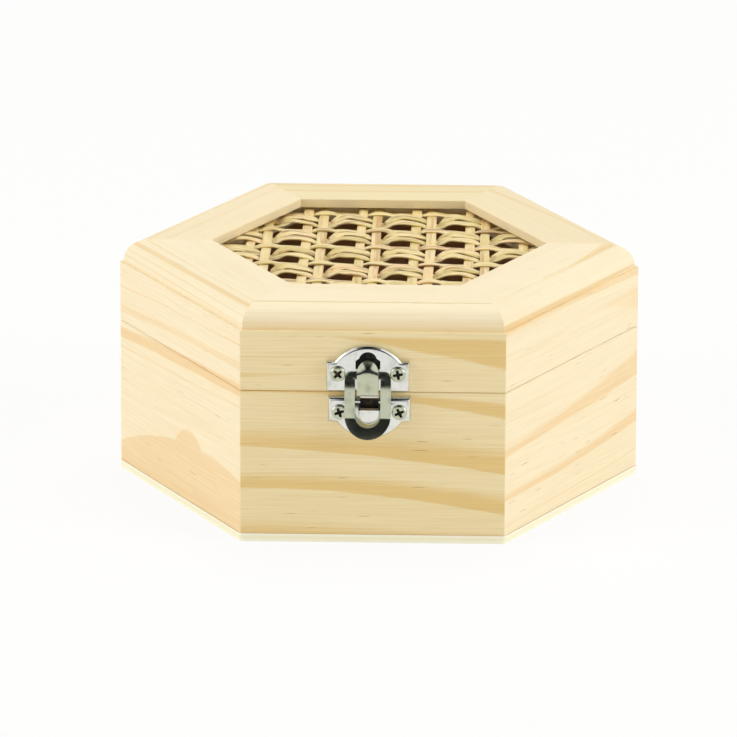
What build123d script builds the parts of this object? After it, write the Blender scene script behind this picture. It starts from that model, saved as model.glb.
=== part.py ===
from build123d import *

import os
from math import asin, degrees, sqrt

# Hexagonal pine box with a hinged lid. The lid's window holds a panel of woven cane, and a
# pressed swing latch closes it. Millimetres, +Z up, origin in the middle of the underside,
# front face towards -Y, corners of the hexagon on the X axis.

# Hexagon and base
side_length = 85.0
corner_rounding = 0.8
base_thickness = 2.7
base_overhang = 0.3
base_corner_rounding = 2.5

# Boards of the box and the lid
box_wall_height = 48.0
box_wall_thickness = 8.0
lid_wall_height = 20.0
lid_wall_thickness = 8.0
seam_gap = 0.15
seam_chamfer = 0.3

# Top rails round the window
rail_thickness = 7.85
rail_setback = 1.2
moulding_radius = 6.6
moulding_step = 0.5
window_side = 54.7
lip_thickness = 3.0
rebate_width = 5.0
bead_width = 4.6

# Cane weave
cane_thickness = 0.9
warp_width = 3.0
warp_pair_spacing = 5.0
warp_pitch = 17.95
warp_offset = -3.9
weft_width = 3.0
arch_width = 3.6
weft_pitch = 18.8
arch_offset = 0.2
back_strip_spacing = 6.9
front_strip_spacing = 5.1
arch_lift = 0.9
crest_run = 1.8
crossing_margin = 0.2
cane_clearance = 0.05
panel_clearance = 0.4
shortest_strip = 8.0

# Outlines of the latch plates: heights from the seam, stands from the front face
latch_offset = -1.55
catch_shift = 0.5
plate_half_width = 13.3
plate_stand = 2.0
plate_sheet = 0.8
plate_edge_bevel = 0.6
arch_half_chord = 10.6
latch_plate_bottom = 0.6
latch_plate_shoulder = 10.0
latch_plate_crown = 15.0
catch_plate_top = -2.0
catch_plate_shoulder = -9.7
catch_plate_crown = -15.2
slot_half_width = 3.95
slot_bottom = 8.5
slot_shoulder = 10.8
slot_arch_radius = 2.9

# Tongue folded out of the latch plate
tongue_half_width = 3.4
tongue_sheet = 0.7
tongue_fold_radius = 0.85
tongue_root = 0.6
tongue_lean = 2.0
tongue_straight = 6.0
tongue_tip_height = 11.6
tongue_tip_stand = 1.2

# Hasp
hasp_sheet = 0.9
hasp_stand = 3.9
hasp_half_width = 7.4
hasp_hole_half_width = 4.1
hasp_top = 7.2
hasp_hole_top = 5.3
hasp_top_rounding = 1.4
hasp_bend_start = 3.0
hasp_bend_radius = 9.7
hasp_round_centre = -6.6
hasp_hole_centre = -6.4
hasp_lip_start = -7.2
hasp_lip_angle = 20.0
hasp_lip_bend_radius = 2.5

# Lug of the catch plate
lug_half_width = 3.2
lug_top = -5.2
lug_centre = -6.6
lug_clearance = 0.3
lug_sheet = 0.6
lug_rounding = 0.35
wing_top = -2.9

# Latch screws
screw_side = 9.6
latch_screw_height = 6.7
catch_screw_height = -6.1
head_radius = 2.4
head_height = 0.85
head_bevel = 0.75
shank_radius = 1.2
shank_length = 7.5
thread_bite = 0.1
hole_clearance = 0.2
cross_width = 0.75
cross_length = 2.9
cross_depth = 0.6

# Hinges on the back wall
hinge_spacing = 46.0
hinge_length = 22.0
leaf_height = 9.5
leaf_sheet = 0.9
leaf_corner_bevel = 1.2
knuckle_radius = 1.8
knuckle_gap = 0.2
knuckle_standoff = 0.3
middle_knuckle_length = 7.2
pin_radius = 0.75
pin_overhang = 0.3
pin_fit = 0.01
running_fit = 0.06

# Heights and distances that follow from the driving dimensions
apothem = side_length * sqrt(3) / 2
box_top = base_thickness + box_wall_height
seam_height = box_top + seam_gap / 2
lid_bottom = box_top + seam_gap
lid_wall_top = lid_bottom + lid_wall_height
lid_top = lid_wall_top + rail_thickness
rail_apothem = apothem - rail_setback
window_apothem = window_side * sqrt(3) / 2
rebate_apothem = window_apothem + rebate_width
panel_apothem = rebate_apothem - panel_clearance
lip_underside = lid_top - lip_thickness
weave_half_depth = 1.5 * cane_thickness + cane_clearance
weave_height = lip_underside - weave_half_depth - cane_clearance
crossing_height = cane_thickness + cane_clearance
hinge_axis_stand = knuckle_radius + knuckle_standoff
lug_stand = hasp_stand - hasp_sheet / 2 - lug_clearance

side_turns = {
    "front": 0,
    "front_right": 60,
    "back_right": 120,
    "back": 180,
    "back_left": 240,
    "front_left": 300,
}

os.makedirs("parts", exist_ok=True)


def save(piece, name):
    """Label a finished piece and write it under its own name."""
    piece.label = name
    export_step(piece, f"parts/{name}.step")


def outward(turn):
    """Direction square to one side of the hexagon, turned from the front side."""
    return Vector(0, -1, 0).rotate(Axis.Z, turn)


def section_plane(turn):
    """Upright plane through the middle of one side: its X points outward, its Y up."""
    return Plane(origin=(0, 0, 0), x_dir=outward(turn), z_dir=outward(turn).cross(Vector(0, 0, 1)))


def face_plane(offset_x):
    """Plane on the front face at the seam: X to the right, Y up, Z out of the wood."""
    return Plane(origin=(offset_x, -apothem, seam_height), x_dir=(1, 0, 0), z_dir=(0, -1, 0))


def profile_plane(offset_x):
    """Plane square to the front face at the seam: X out of the wood, Y up."""
    return Plane(origin=(offset_x, -apothem, seam_height), x_dir=(0, -1, 0), z_dir=(-1, 0, 0))


def back_plane(offset_x):
    """Plane on the back face at the seam: X to the left, Y up, Z out of the wood."""
    return Plane(origin=(offset_x, apothem, seam_height), x_dir=(-1, 0, 0), z_dir=(0, 1, 0))


# Boards: one section run along each side of the hexagon, mitred and drilled


def mitred_board(section, turn, outer_apothem):
    """Run a section along one side and cut both ends to the mitre between two sides."""
    mitres = [outward(turn + half) * 2 * side_length for half in (-30, 30)]
    with BuildPart() as board:
        with BuildSketch(section_plane(turn)):
            add(section)
        extrude(amount=side_length, both=True)
        with BuildSketch():
            RegularPolygon(radius=outer_apothem, side_count=6, major_radius=False)
            fillet(vertices(), corner_rounding)
            with BuildLine():
                Polyline((0, 0), *((mitre.X, mitre.Y) for mitre in mitres), close=True)
            make_face(mode=Mode.INTERSECT)
        extrude(amount=lid_top, mode=Mode.INTERSECT)
    return board.part


def drilled(board, plane, points, radius, depth):
    """Drill the pilot holes of the screws that go into one board."""
    with BuildPart() as holed:
        add(board)
        with BuildSketch(plane):
            with Locations(*points):
                Circle(radius)
        extrude(amount=-depth, mode=Mode.SUBTRACT)
    return holed.part


def wall_section(bottom, top, thickness, seam_edge):
    """Section of an upright board; its outer corner at the height seam_edge is broken."""
    with BuildSketch() as section:
        with Locations((apothem, bottom)):
            Rectangle(thickness, top - bottom, align=(Align.MAX, Align.MIN))
        chamfer(section.vertices().sort_by_distance((apothem, seam_edge))[0], seam_chamfer)
    return section.sketch


def rail_section():
    """Section of a top rail: window lip over a rebate, flat top, small step, quarter round."""
    round_start = rail_apothem - moulding_radius
    round_top = lid_top - moulding_step
    round_end = (rail_apothem, round_top - moulding_radius)
    with BuildSketch() as section:
        with BuildLine():
            Polyline(
                round_end,
                (rail_apothem, lid_wall_top),
                (rebate_apothem, lid_wall_top),
                (rebate_apothem, lip_underside),
                (window_apothem, lip_underside),
                (window_apothem, lid_top),
                (round_start, lid_top),
                (round_start, round_top),
            )
            RadiusArc((round_start, round_top), round_end, moulding_radius)
        make_face()
    return section.sketch


def bead_section():
    """Section of a strip that holds the cane up against the lip."""
    bead_top = weave_height - weave_half_depth - cane_clearance
    with BuildSketch() as section:
        with Locations((rebate_apothem, lid_wall_top)):
            Rectangle(bead_width, bead_top - lid_wall_top, align=(Align.MAX, Align.MIN))
    return section.sketch


def screw_points(side, height):
    """Places of a pair of screws on the plane that they stand on."""
    return [(-side, height), (side, height)]


with BuildPart() as base_plate:
    with BuildSketch():
        RegularPolygon(radius=apothem + base_overhang, side_count=6, major_radius=False)
        fillet(vertices(), base_corner_rounding)
    extrude(amount=base_thickness)
save(base_plate.part, "base_plate")

latch_plane = face_plane(latch_offset)
catch_plane = face_plane(latch_offset + catch_shift)

for side, turn in side_turns.items():
    box_section = wall_section(base_thickness, box_top, box_wall_thickness, box_top)
    lid_section = wall_section(lid_bottom, lid_wall_top, lid_wall_thickness, lid_bottom)
    box_wall = mitred_board(box_section, turn, apothem)
    lid_wall = mitred_board(lid_section, turn, apothem)
    if side == "front":
        pilot = (shank_radius - thread_bite, shank_length - plate_stand)
        box_wall = drilled(box_wall, catch_plane, screw_points(screw_side, catch_screw_height), *pilot)
        lid_wall = drilled(lid_wall, latch_plane, screw_points(screw_side, latch_screw_height), *pilot)
    save(box_wall, f"box_wall_{side}")
    save(lid_wall, f"lid_wall_{side}")
    save(mitred_board(rail_section(), turn, rail_apothem), f"lid_rail_{side}")
    save(mitred_board(bead_section(), turn, rebate_apothem), f"cane_bead_{side}")


# Cane panel: flat warp strips in pairs, front to back, and three weft strips to each row.
# The back strip of a row passes over the right warp of a pair and under the left one, the
# wide middle strip and the front strip the other way round.


def warp_pairs():
    """Middles of the pairs of warp strips, also of those that only just miss the panel."""
    count = int(side_length / warp_pitch) + 1
    return [warp_offset + warp_pitch * number for number in range(-count, count + 1)]


def weft_rows():
    """Distance from the middle, width, direction and lift of every weft strip."""
    count = int(side_length / weft_pitch) + 1
    for number in range(-count, count + 1):
        middle = arch_offset + weft_pitch * number
        yield middle + back_strip_spacing, weft_width, -1, 0
        yield middle, arch_width, 1, arch_lift
        yield middle - front_strip_spacing, weft_width, 1, 0


def panel_outline():
    """Outline of the whole cane panel inside the rebate."""
    with BuildSketch() as outline:
        RegularPolygon(radius=panel_apothem, side_count=6, major_radius=False)
    return outline.sketch


def crossing_points(pair, direction, lift):
    """Centre line of a weft strip over one warp of a pair and under the other."""
    half_crossing = warp_width / 2 + crossing_margin
    near_warp = -warp_pair_spacing / 2
    crest = [(near_warp, crossing_height + lift)] if lift else []
    steps = [
        (near_warp - half_crossing - crest_run, crossing_height + lift / 2),
        *crest,
        (near_warp + half_crossing, crossing_height),
        (-near_warp - half_crossing, -crossing_height),
        (-near_warp + half_crossing, -crossing_height),
    ]
    return [(pair + direction * along, height) for along, height in steps[::direction]]


def inside_window(across, distance, half_width):
    """Whether a crest stands far enough inside the window to rise above the lip's underside."""
    reach = window_side - (abs(distance) + half_width) / sqrt(3)
    room = warp_pair_spacing + warp_width
    return abs(across) + room < reach and abs(distance) + half_width + arch_lift < window_apothem


with BuildPart() as cane_warp:
    for pair in warp_pairs():
        for across in (pair - warp_pair_spacing / 2, pair + warp_pair_spacing / 2):
            length = 2 * sqrt(3) * (2 * panel_apothem / sqrt(3) - abs(across) - warp_width / 2)
            if length > shortest_strip:
                with BuildSketch(Plane.XY.offset(weave_height - cane_thickness / 2)):
                    with Locations((across, 0)):
                        Rectangle(warp_width, 2 * panel_apothem)
                extrude(amount=cane_thickness)
    with BuildSketch(Plane.XY):
        add(panel_outline())
    extrude(amount=lid_top, mode=Mode.INTERSECT)
save(cane_warp.part, "cane_warp")

with BuildPart() as cane_weft:
    for distance, width, direction, lift in weft_rows():
        if abs(distance) + width / 2 < panel_apothem:
            centre_line = []
            for pair in warp_pairs():
                crest = lift if inside_window(pair, distance, width / 2) else 0
                centre_line += crossing_points(pair, direction, crest)
            upper = [(along, height + cane_thickness / 2) for along, height in centre_line]
            lower = [(along, height - cane_thickness / 2) for along, height in centre_line]
            row_plane = Plane(origin=(0, distance, weave_height), x_dir=(1, 0, 0), z_dir=(0, -1, 0))
            with BuildSketch(row_plane):
                with BuildLine():
                    Polyline(*upper, *reversed(lower), close=True)
                make_face()
            extrude(amount=width / 2, both=True)
    with BuildSketch(Plane.XY):
        add(panel_outline())
    extrude(amount=lid_top, mode=Mode.INTERSECT)
save(cane_weft.part, "cane_weft")


# Latch plates: shallow pans of sheet metal, open towards the wood


def plate_outline(straight_edge, shoulder, crown):
    """Flat edge on the seam side, square shoulders, and an arch on the far side."""
    with BuildSketch() as outline:
        with BuildLine():
            Polyline(
                (-arch_half_chord, shoulder),
                (-plate_half_width, shoulder),
                (-plate_half_width, straight_edge),
                (plate_half_width, straight_edge),
                (plate_half_width, shoulder),
                (arch_half_chord, shoulder),
            )
            ThreePointArc((arch_half_chord, shoulder), (0, crown), (-arch_half_chord, shoulder))
        make_face()
    return outline.sketch


def pressed_plate(outline, plane, screw_height):
    """Press a plate with turned-down edges and punch its two screw holes."""
    with BuildPart() as plate:
        with BuildSketch(plane):
            add(outline)
        extrude(amount=plate_stand)
        chamfer(faces().sort_by(Axis(plane.origin, plane.z_dir))[-1].edges(), plate_edge_bevel)
        with BuildSketch(plane):
            add(outline)
            offset(amount=-plate_sheet, kind=Kind.INTERSECTION, mode=Mode.REPLACE)
        extrude(amount=plate_stand - plate_sheet, mode=Mode.SUBTRACT)
        with BuildSketch(plane):
            with Locations(*screw_points(screw_side, screw_height)):
                Circle(shank_radius + hole_clearance)
        extrude(amount=plate_stand, mode=Mode.SUBTRACT)
    return plate.part


with BuildPart() as tongue:
    with BuildSketch(profile_plane(latch_offset)):
        with BuildLine():
            root_stand = plate_stand - tongue_sheet / 2
            root = Line((root_stand, latch_plate_bottom + tongue_root), (root_stand, latch_plate_bottom))
            fold = JernArc(root @ 1, root % 1, tongue_fold_radius, 180)
            front = Line(fold @ 1, fold @ 1 + Vector(tongue_lean, tongue_straight))
            TangentArc(front @ 1, (tongue_tip_stand, tongue_tip_height), tangent=front % 1)
            offset(amount=tongue_sheet / 2, side=Side.BOTH)
        make_face()
    extrude(amount=tongue_half_width, both=True)
    with BuildSketch(latch_plane):
        with Locations((0, tongue_tip_height + tongue_sheet / 2 - tongue_half_width)):
            Circle(tongue_half_width)
            Rectangle(2 * tongue_half_width, 4 * tongue_half_width, align=(Align.CENTER, Align.MAX))
    extrude(amount=side_length, mode=Mode.INTERSECT)

with BuildPart() as latch_plate:
    latch_outline = plate_outline(latch_plate_bottom, latch_plate_shoulder, latch_plate_crown)
    add(pressed_plate(latch_outline, latch_plane, latch_screw_height))
    with BuildSketch(latch_plane):
        with Locations((0, slot_bottom)):
            Rectangle(2 * slot_half_width, slot_shoulder - slot_bottom, align=(Align.CENTER, Align.MIN))
        with Locations((0, slot_shoulder)):
            Circle(slot_arch_radius)
    extrude(amount=plate_stand, mode=Mode.SUBTRACT)
    add(tongue.part)
save(latch_plate.part, "latch_plate")


def lug_outline(half_width):
    """Round below and straight above, cut off square where the lug's mouth opens."""
    cut = 4 * half_width
    with BuildSketch() as outline:
        with Locations((0, lug_centre)):
            Circle(half_width)
            Rectangle(2 * half_width, 2 * half_width, align=(Align.CENTER, Align.MIN))
        with Locations((0, lug_top)):
            Rectangle(cut, cut, align=(Align.CENTER, Align.MIN), mode=Mode.SUBTRACT)
    return outline.sketch


with BuildPart() as lug:
    with BuildSketch(catch_plane.offset(plate_stand - plate_sheet)):
        add(lug_outline(lug_half_width))
    extrude(amount=lug_stand - plate_stand + plate_sheet)
    chamfer(faces().sort_by(Axis.Y)[0].edges().sort_by(Axis.Z)[:-1], lug_rounding)
    with BuildSketch(profile_plane(latch_offset + catch_shift)):
        with BuildLine():
            Polyline(
                (plate_stand - plate_sheet, lug_top),
                (plate_stand - plate_sheet, wing_top),
                (plate_stand, wing_top),
                (lug_stand, lug_top),
                close=True,
            )
        make_face()
    extrude(amount=lug_half_width, both=True)

mouth_half_width = lug_half_width - lug_sheet

with BuildPart() as catch_plate:
    catch_outline = plate_outline(catch_plate_top, catch_plate_shoulder, catch_plate_crown)
    add(pressed_plate(catch_outline, catch_plane, catch_screw_height))
    add(lug.part)
    with BuildSketch(catch_plane):
        add(lug_outline(mouth_half_width))
    extrude(amount=lug_stand - lug_sheet, mode=Mode.SUBTRACT)
    with BuildSketch(catch_plane):
        with Locations((0, lug_top)):
            Rectangle(2 * mouth_half_width, catch_plate_top - lug_top, align=(Align.CENTER, Align.MIN))
    extrude(amount=lug_stand, mode=Mode.SUBTRACT)
save(catch_plate.part, "catch_plate")


# Hasp: a flat loop, bent back where it turns in the tongue and out at its lip

with BuildPart() as hasp:
    with BuildSketch(profile_plane(latch_offset)):
        with BuildLine() as hasp_line:
            bend_angle = degrees(asin((hasp_top - hasp_bend_start) / hasp_bend_radius))
            JernArc((hasp_stand, hasp_bend_start), (0, 1), hasp_bend_radius, bend_angle)
            arms = Line((hasp_stand, hasp_bend_start), (hasp_stand, hasp_lip_start))
            lip_bend = JernArc(arms @ 1, arms % 1, hasp_lip_bend_radius, hasp_lip_angle)
            Line(lip_bend @ 1, lip_bend @ 1 + lip_bend % 1 * hasp_half_width)
        trace(hasp_line.line, line_width=hasp_sheet)
    extrude(amount=hasp_half_width, both=True)
    with BuildSketch(latch_plane):
        with Locations((0, hasp_round_centre)):
            Rectangle(2 * hasp_half_width, 2 * side_length, align=(Align.CENTER, Align.MIN))
            Circle(hasp_half_width)
        with Locations((0, hasp_hole_centre)):
            Circle(hasp_hole_half_width, mode=Mode.SUBTRACT)
            Rectangle(
                2 * hasp_hole_half_width,
                hasp_hole_top - hasp_hole_centre,
                align=(Align.CENTER, Align.MIN),
                mode=Mode.SUBTRACT,
            )
    extrude(amount=side_length, mode=Mode.INTERSECT)
    top_corners = edges().filter_by(Axis.Y, tolerance=40).group_by(Axis.Z)[-1]
    fillet(top_corners, hasp_top_rounding)
save(hasp.part, "hasp")


# Latch screws: low bevelled heads with cross recesses, on plain shanks


def screw(place, cross_turn):
    """One screw standing on a plane, its head outward, with its cross turned by an angle."""
    with BuildPart() as body:
        with BuildSketch(place):
            Circle(head_radius)
        extrude(amount=head_height)
        chamfer(edges().sort_by(Axis(place.origin, place.z_dir))[-1], head_bevel)
        with BuildSketch(place):
            Circle(shank_radius)
        extrude(amount=-shank_length)
        with BuildSketch(place.offset(head_height - cross_depth)):
            Rectangle(cross_length, cross_width, rotation=cross_turn)
            Rectangle(cross_length, cross_width, rotation=cross_turn + 90)
        extrude(amount=cross_depth, mode=Mode.SUBTRACT)
    return body.part


def screw_pair(plane, height, cross_turns):
    """The two screws of one plate, as separate solids."""
    top = plane.offset(plate_stand)
    with BuildPart() as pair:
        for point, cross_turn in zip(screw_points(screw_side, height), cross_turns):
            place = top.shift_origin(top.from_local_coords((*point, 0)))
            add(screw(place, cross_turn))
    return pair.part


save(screw_pair(latch_plane, latch_screw_height, (45, 10)), "latch_screws")
save(screw_pair(catch_plane, catch_screw_height, (20, 25)), "catch_screws")


# Hinges: leaves on the back face, their knuckles on one pin at the seam


def hinge_leaf(plane, direction, knuckles, bore):
    """One leaf and its knuckles; direction is 1 on the lid and -1 on the box."""
    root = knuckle_radius + knuckle_gap
    flush = (Align.CENTER, Align.MIN if direction > 0 else Align.MAX)
    far_edge = -1 if direction > 0 else 0
    axis_point = plane.from_local_coords((0, 0, hinge_axis_stand))
    with BuildPart() as leaf:
        with BuildSketch(plane):
            with Locations((0, direction * root)):
                Rectangle(hinge_length, leaf_height - root, align=flush)
            chamfer(vertices().group_by(Axis.Y)[far_edge], leaf_corner_bevel)
            for middle, length in knuckles:
                with Locations((middle, direction * knuckle_gap)):
                    Rectangle(length, root, align=flush)
        extrude(amount=leaf_sheet)
        for middle, length in knuckles:
            knuckle_start = axis_point + plane.x_dir * (middle - length / 2)
            with BuildSketch(Plane(origin=knuckle_start, x_dir=plane.y_dir, z_dir=plane.x_dir)):
                Circle(knuckle_radius)
            extrude(amount=length)
        with BuildSketch(Plane(origin=axis_point, x_dir=plane.y_dir, z_dir=plane.x_dir)):
            Circle(bore)
        extrude(amount=hinge_length, both=True, mode=Mode.SUBTRACT)
    return leaf.part


def hinge_pin(plane):
    """Plain pin through all the knuckles of one hinge."""
    axis_point = plane.from_local_coords((0, 0, hinge_axis_stand))
    with BuildPart() as pin:
        with BuildSketch(Plane(origin=axis_point, x_dir=plane.y_dir, z_dir=plane.x_dir)):
            Circle(pin_radius)
        extrude(amount=hinge_length / 2 + pin_overhang, both=True)
    return pin.part


outer_knuckle_length = (hinge_length - middle_knuckle_length) / 2 - knuckle_gap
outer_knuckle_side = (hinge_length - outer_knuckle_length) / 2
outer_knuckles = [(side, outer_knuckle_length) for side in (-outer_knuckle_side, outer_knuckle_side)]
middle_knuckle = [(0, middle_knuckle_length)]

hinge_planes = {"left": back_plane(-hinge_spacing / 2), "right": back_plane(hinge_spacing / 2)}
for side, plane in hinge_planes.items():
    save(hinge_leaf(plane, -1, outer_knuckles, pin_radius + pin_fit), f"hinge_box_leaf_{side}")
    save(hinge_leaf(plane, 1, middle_knuckle, pin_radius + running_fit), f"hinge_lid_leaf_{side}")
    save(hinge_pin(plane), f"hinge_pin_{side}")
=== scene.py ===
"""Looks of a hexagonal pine box with a woven cane window and a swing latch.

Lengths are written in millimetres and turned into metres by mm(). +Z is up, the latch is on
the -Y side, and the middle of the underside is the origin.
"""

import logging
import math
import random
from collections.abc import Callable, Sequence
from dataclasses import dataclass, field
from enum import Enum

import bpy
from mathutils import Matrix, Vector


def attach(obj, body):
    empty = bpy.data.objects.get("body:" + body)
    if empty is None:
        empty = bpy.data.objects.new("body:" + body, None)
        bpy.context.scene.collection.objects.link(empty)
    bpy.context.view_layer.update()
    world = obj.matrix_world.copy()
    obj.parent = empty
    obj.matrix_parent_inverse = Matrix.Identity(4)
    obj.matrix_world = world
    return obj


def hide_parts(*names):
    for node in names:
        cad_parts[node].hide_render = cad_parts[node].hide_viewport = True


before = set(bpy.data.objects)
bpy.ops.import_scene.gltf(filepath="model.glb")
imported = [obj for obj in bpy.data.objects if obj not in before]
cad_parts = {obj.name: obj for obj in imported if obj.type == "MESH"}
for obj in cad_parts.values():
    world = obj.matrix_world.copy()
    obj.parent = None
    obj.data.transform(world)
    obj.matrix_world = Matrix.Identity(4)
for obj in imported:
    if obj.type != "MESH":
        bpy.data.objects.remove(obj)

log = logging.getLogger("hexagonal_box")

SIDE_LENGTH = 85.0
APOTHEM = SIDE_LENGTH * math.sqrt(3) / 2
HALF_SIDE = SIDE_LENGTH / 2
SEAM_HEIGHT = 50.775
LID_WALL_TOP = 70.85
LID_TOP = 78.7
WINDOW_SIDE = 54.7
WINDOW_APOTHEM = WINDOW_SIDE * math.sqrt(3) / 2
REBATE_WIDTH = 5.0
LATCH_OFFSET = -1.55


def mm(value: float) -> float:
    """Turn millimetres into metres."""
    return value / 1000.0


def mm_vector(x: float, y: float, z: float) -> Vector:
    """Turn a point in millimetres into metres."""
    return Vector((mm(x), mm(y), mm(z)))


class Side(Enum):
    """The six sides of the hexagon, by their turn from the front."""

    FRONT = 0
    FRONT_RIGHT = 60
    BACK_RIGHT = 120
    BACK = 180
    BACK_LEFT = 240
    FRONT_LEFT = 300

    @property
    def word(self) -> str:
        """Name of the side as it ends a node's name."""
        return self.name.lower()


class Body(str, Enum):
    """The bodies that pieces ride on."""

    BOX = "box"
    LID = "lid"
    HASP = "hasp"


# Shader nodes


Socket = bpy.types.NodeSocket
Number = float | Socket


class Graph:
    """Short calls for adding nodes to one node tree."""

    def __init__(self, tree: bpy.types.NodeTree) -> None:
        """Keep the tree that the nodes go into."""
        self.tree = tree

    def node(self, kind: str, **settings: object) -> bpy.types.Node:
        """Add a node.

        Args:
            kind: Blender's name of the node.
            settings: properties of the node to set.

        Returns:
            The new node.
        """
        made = self.tree.nodes.new(kind)
        for key, value in settings.items():
            setattr(made, key, value)
        return made

    def feed(self, socket: Socket, value: object) -> None:
        """Link a socket to another, or set it to a plain value.

        Args:
            socket: the input.
            value: a socket to link, or a plain value.
        """
        if isinstance(value, bpy.types.NodeSocket):
            self.tree.links.new(value, socket)
        else:
            socket.default_value = value

    def fill(self, node: bpy.types.Node, **values: object) -> bpy.types.Node:
        """Feed a node's inputs.

        Args:
            node: the node.
            values: what goes into its inputs, named with underscores for spaces.

        Returns:
            The node.
        """
        for key, value in values.items():
            self.feed(node.inputs[key.replace("_", " ")], value)
        return node

    def math(self, operation: str, *values: Number, clamp: bool = False) -> Socket:
        """Work out a number from others and give its socket.

        Args:
            operation: Blender's name of the operation.
            values: what goes in, in order.
            clamp: whether the result is held between 0 and 1.

        Returns:
            The result.
        """
        made = self.node("ShaderNodeMath", operation=operation, use_clamp=clamp)
        for socket, value in zip(made.inputs, values):
            self.feed(socket, value)
        return made.outputs[0]

    def step(self, value: Number, start: Number, end: Number) -> Socket:
        """Rise smoothly from 0 to 1 as a value goes from start to end.

        Args:
            value: the value.
            start: where the rise starts.
            end: where it ends, below start for a fall.

        Returns:
            The share risen, from 0 to 1.
        """
        made = self.node("ShaderNodeMapRange", interpolation_type="SMOOTHSTEP")
        return self.fill(made, Value=value, From_Min=start, From_Max=end).outputs["Result"]

    def span(self, value: Number, given: tuple[float, float], wanted: tuple[float, float]) -> Socket:
        """Carry a value from one range to another, held inside it.

        Args:
            value: the value.
            given: lowest and highest value that goes in.
            wanted: what comes out at these two.

        Returns:
            The carried value.
        """
        made = self.node("ShaderNodeMapRange")
        self.fill(made, Value=value, From_Min=given[0], From_Max=given[1], To_Min=wanted[0], To_Max=wanted[1])
        return made.outputs["Result"]

    def point(self, x: Number, y: Number, z: Number) -> Socket:
        """Join three numbers into a place.

        Args:
            x: first number.
            y: second number.
            z: third number.

        Returns:
            The place.
        """
        made = self.node("ShaderNodeCombineXYZ")
        for socket, value in zip(made.inputs, (x, y, z)):
            self.feed(socket, value)
        return made.outputs[0]

    def noise(self, place: Socket, scale: float, detail: float, roughness: float = 0.5) -> Socket:
        """Add soft noise.

        Args:
            place: where it is read.
            scale: how fast it changes.
            detail: how many finer layers it has.
            roughness: how strong these are.

        Returns:
            The noise, from 0 to 1.
        """
        made = self.node("ShaderNodeTexNoise")
        return self.fill(made, Vector=place, Scale=scale, Detail=detail, Roughness=roughness).outputs["Fac"]

    def mix(self, amount: Number, low: object, high: object, blend: str = "MIX") -> Socket:
        """Mix two colours.

        Args:
            amount: share of the second colour.
            low: first colour.
            high: second colour.
            blend: Blender's name of the way of mixing.

        Returns:
            The mixed colour.
        """
        made = self.node("ShaderNodeMix", data_type="RGBA", blend_type=blend)
        sockets = {socket.identifier: socket for socket in (*made.inputs, *made.outputs)}
        self.feed(sockets["Factor_Float"], amount)
        self.feed(sockets["A_Color"], low)
        self.feed(sockets["B_Color"], high)
        return sockets["Result_Color"]

    def bump(self, height: Socket, distance: float, strength: float) -> Socket:
        """Turn a height into a surface normal.

        Args:
            height: height of the surface, from 0 to 1.
            distance: what a height of 1 stands for, in metres.
            strength: how much of it shows.

        Returns:
            The surface's normal.
        """
        made = self.node("ShaderNodeBump")
        return self.fill(made, Height=height, Distance=distance, Strength=strength).outputs["Normal"]

    def use(self, group: bpy.types.NodeTree, **values: object) -> bpy.types.Node:
        """Place a node group.

        Args:
            group: the node group.
            values: its inputs, named with underscores for spaces.

        Returns:
            The group's node.
        """
        made = self.node("ShaderNodeGroup")
        made.node_tree = group
        return self.fill(made, **values)


class GroupGraph(Graph):
    """A node group that is being built."""

    def __init__(self, name: str, inputs: dict[str, float], outputs: Sequence[str]) -> None:
        """Make an empty group.

        Args:
            name: name of the group.
            inputs: its number inputs with their usual values.
            outputs: its outputs, numbers, or colours where the name holds Colour.
        """
        tree = bpy.data.node_groups.new(name, "ShaderNodeTree")
        for key, value in inputs.items():
            socket = tree.interface.new_socket(key, in_out="INPUT", socket_type="NodeSocketFloat")
            socket.default_value = value
        for key in outputs:
            kind = "NodeSocketColor" if "Colour" in key else "NodeSocketFloat"
            tree.interface.new_socket(key, in_out="OUTPUT", socket_type=kind)
        super().__init__(tree)
        self.given = self.node("NodeGroupInput").outputs
        self.result = self.node("NodeGroupOutput")

    def give(self, **results: Number) -> bpy.types.NodeTree:
        """Feed the group's outputs, named with underscores for spaces, and give the finished group."""
        self.fill(self.result, **results)
        return self.tree


def board_place_group() -> bpy.types.NodeTree:
    """Distances on a board in millimetres: along its side, up or across, and into the wood.

    Returns:
        The node group.
    """
    made = GroupGraph("board_place", {"Turn": 0.0, "Flatness": 0.0}, ("Along", "Height", "Depth"))
    place = made.node("ShaderNodeTexCoord").outputs["Object"]
    turned = made.node("ShaderNodeVectorRotate", rotation_type="Z_AXIS")
    made.fill(turned, Vector=place, Angle=made.math("MULTIPLY", made.given["Turn"], -1.0))
    parts = made.node("ShaderNodeSeparateXYZ")
    made.feed(parts.inputs[0], turned.outputs[0])
    along = made.math("MULTIPLY", parts.outputs["X"], 1000.0)
    depth = made.math("MULTIPLY_ADD", parts.outputs["Y"], 1000.0, APOTHEM)
    height = made.math("MULTIPLY", parts.outputs["Z"], 1000.0)
    # on a flat rail the figure runs from the window out over the round and down the edge
    across = made.math("ADD", height, made.math("MULTIPLY", depth, made.given["Flatness"]))
    return made.give(Along=along, Height=across, Depth=depth)


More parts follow.
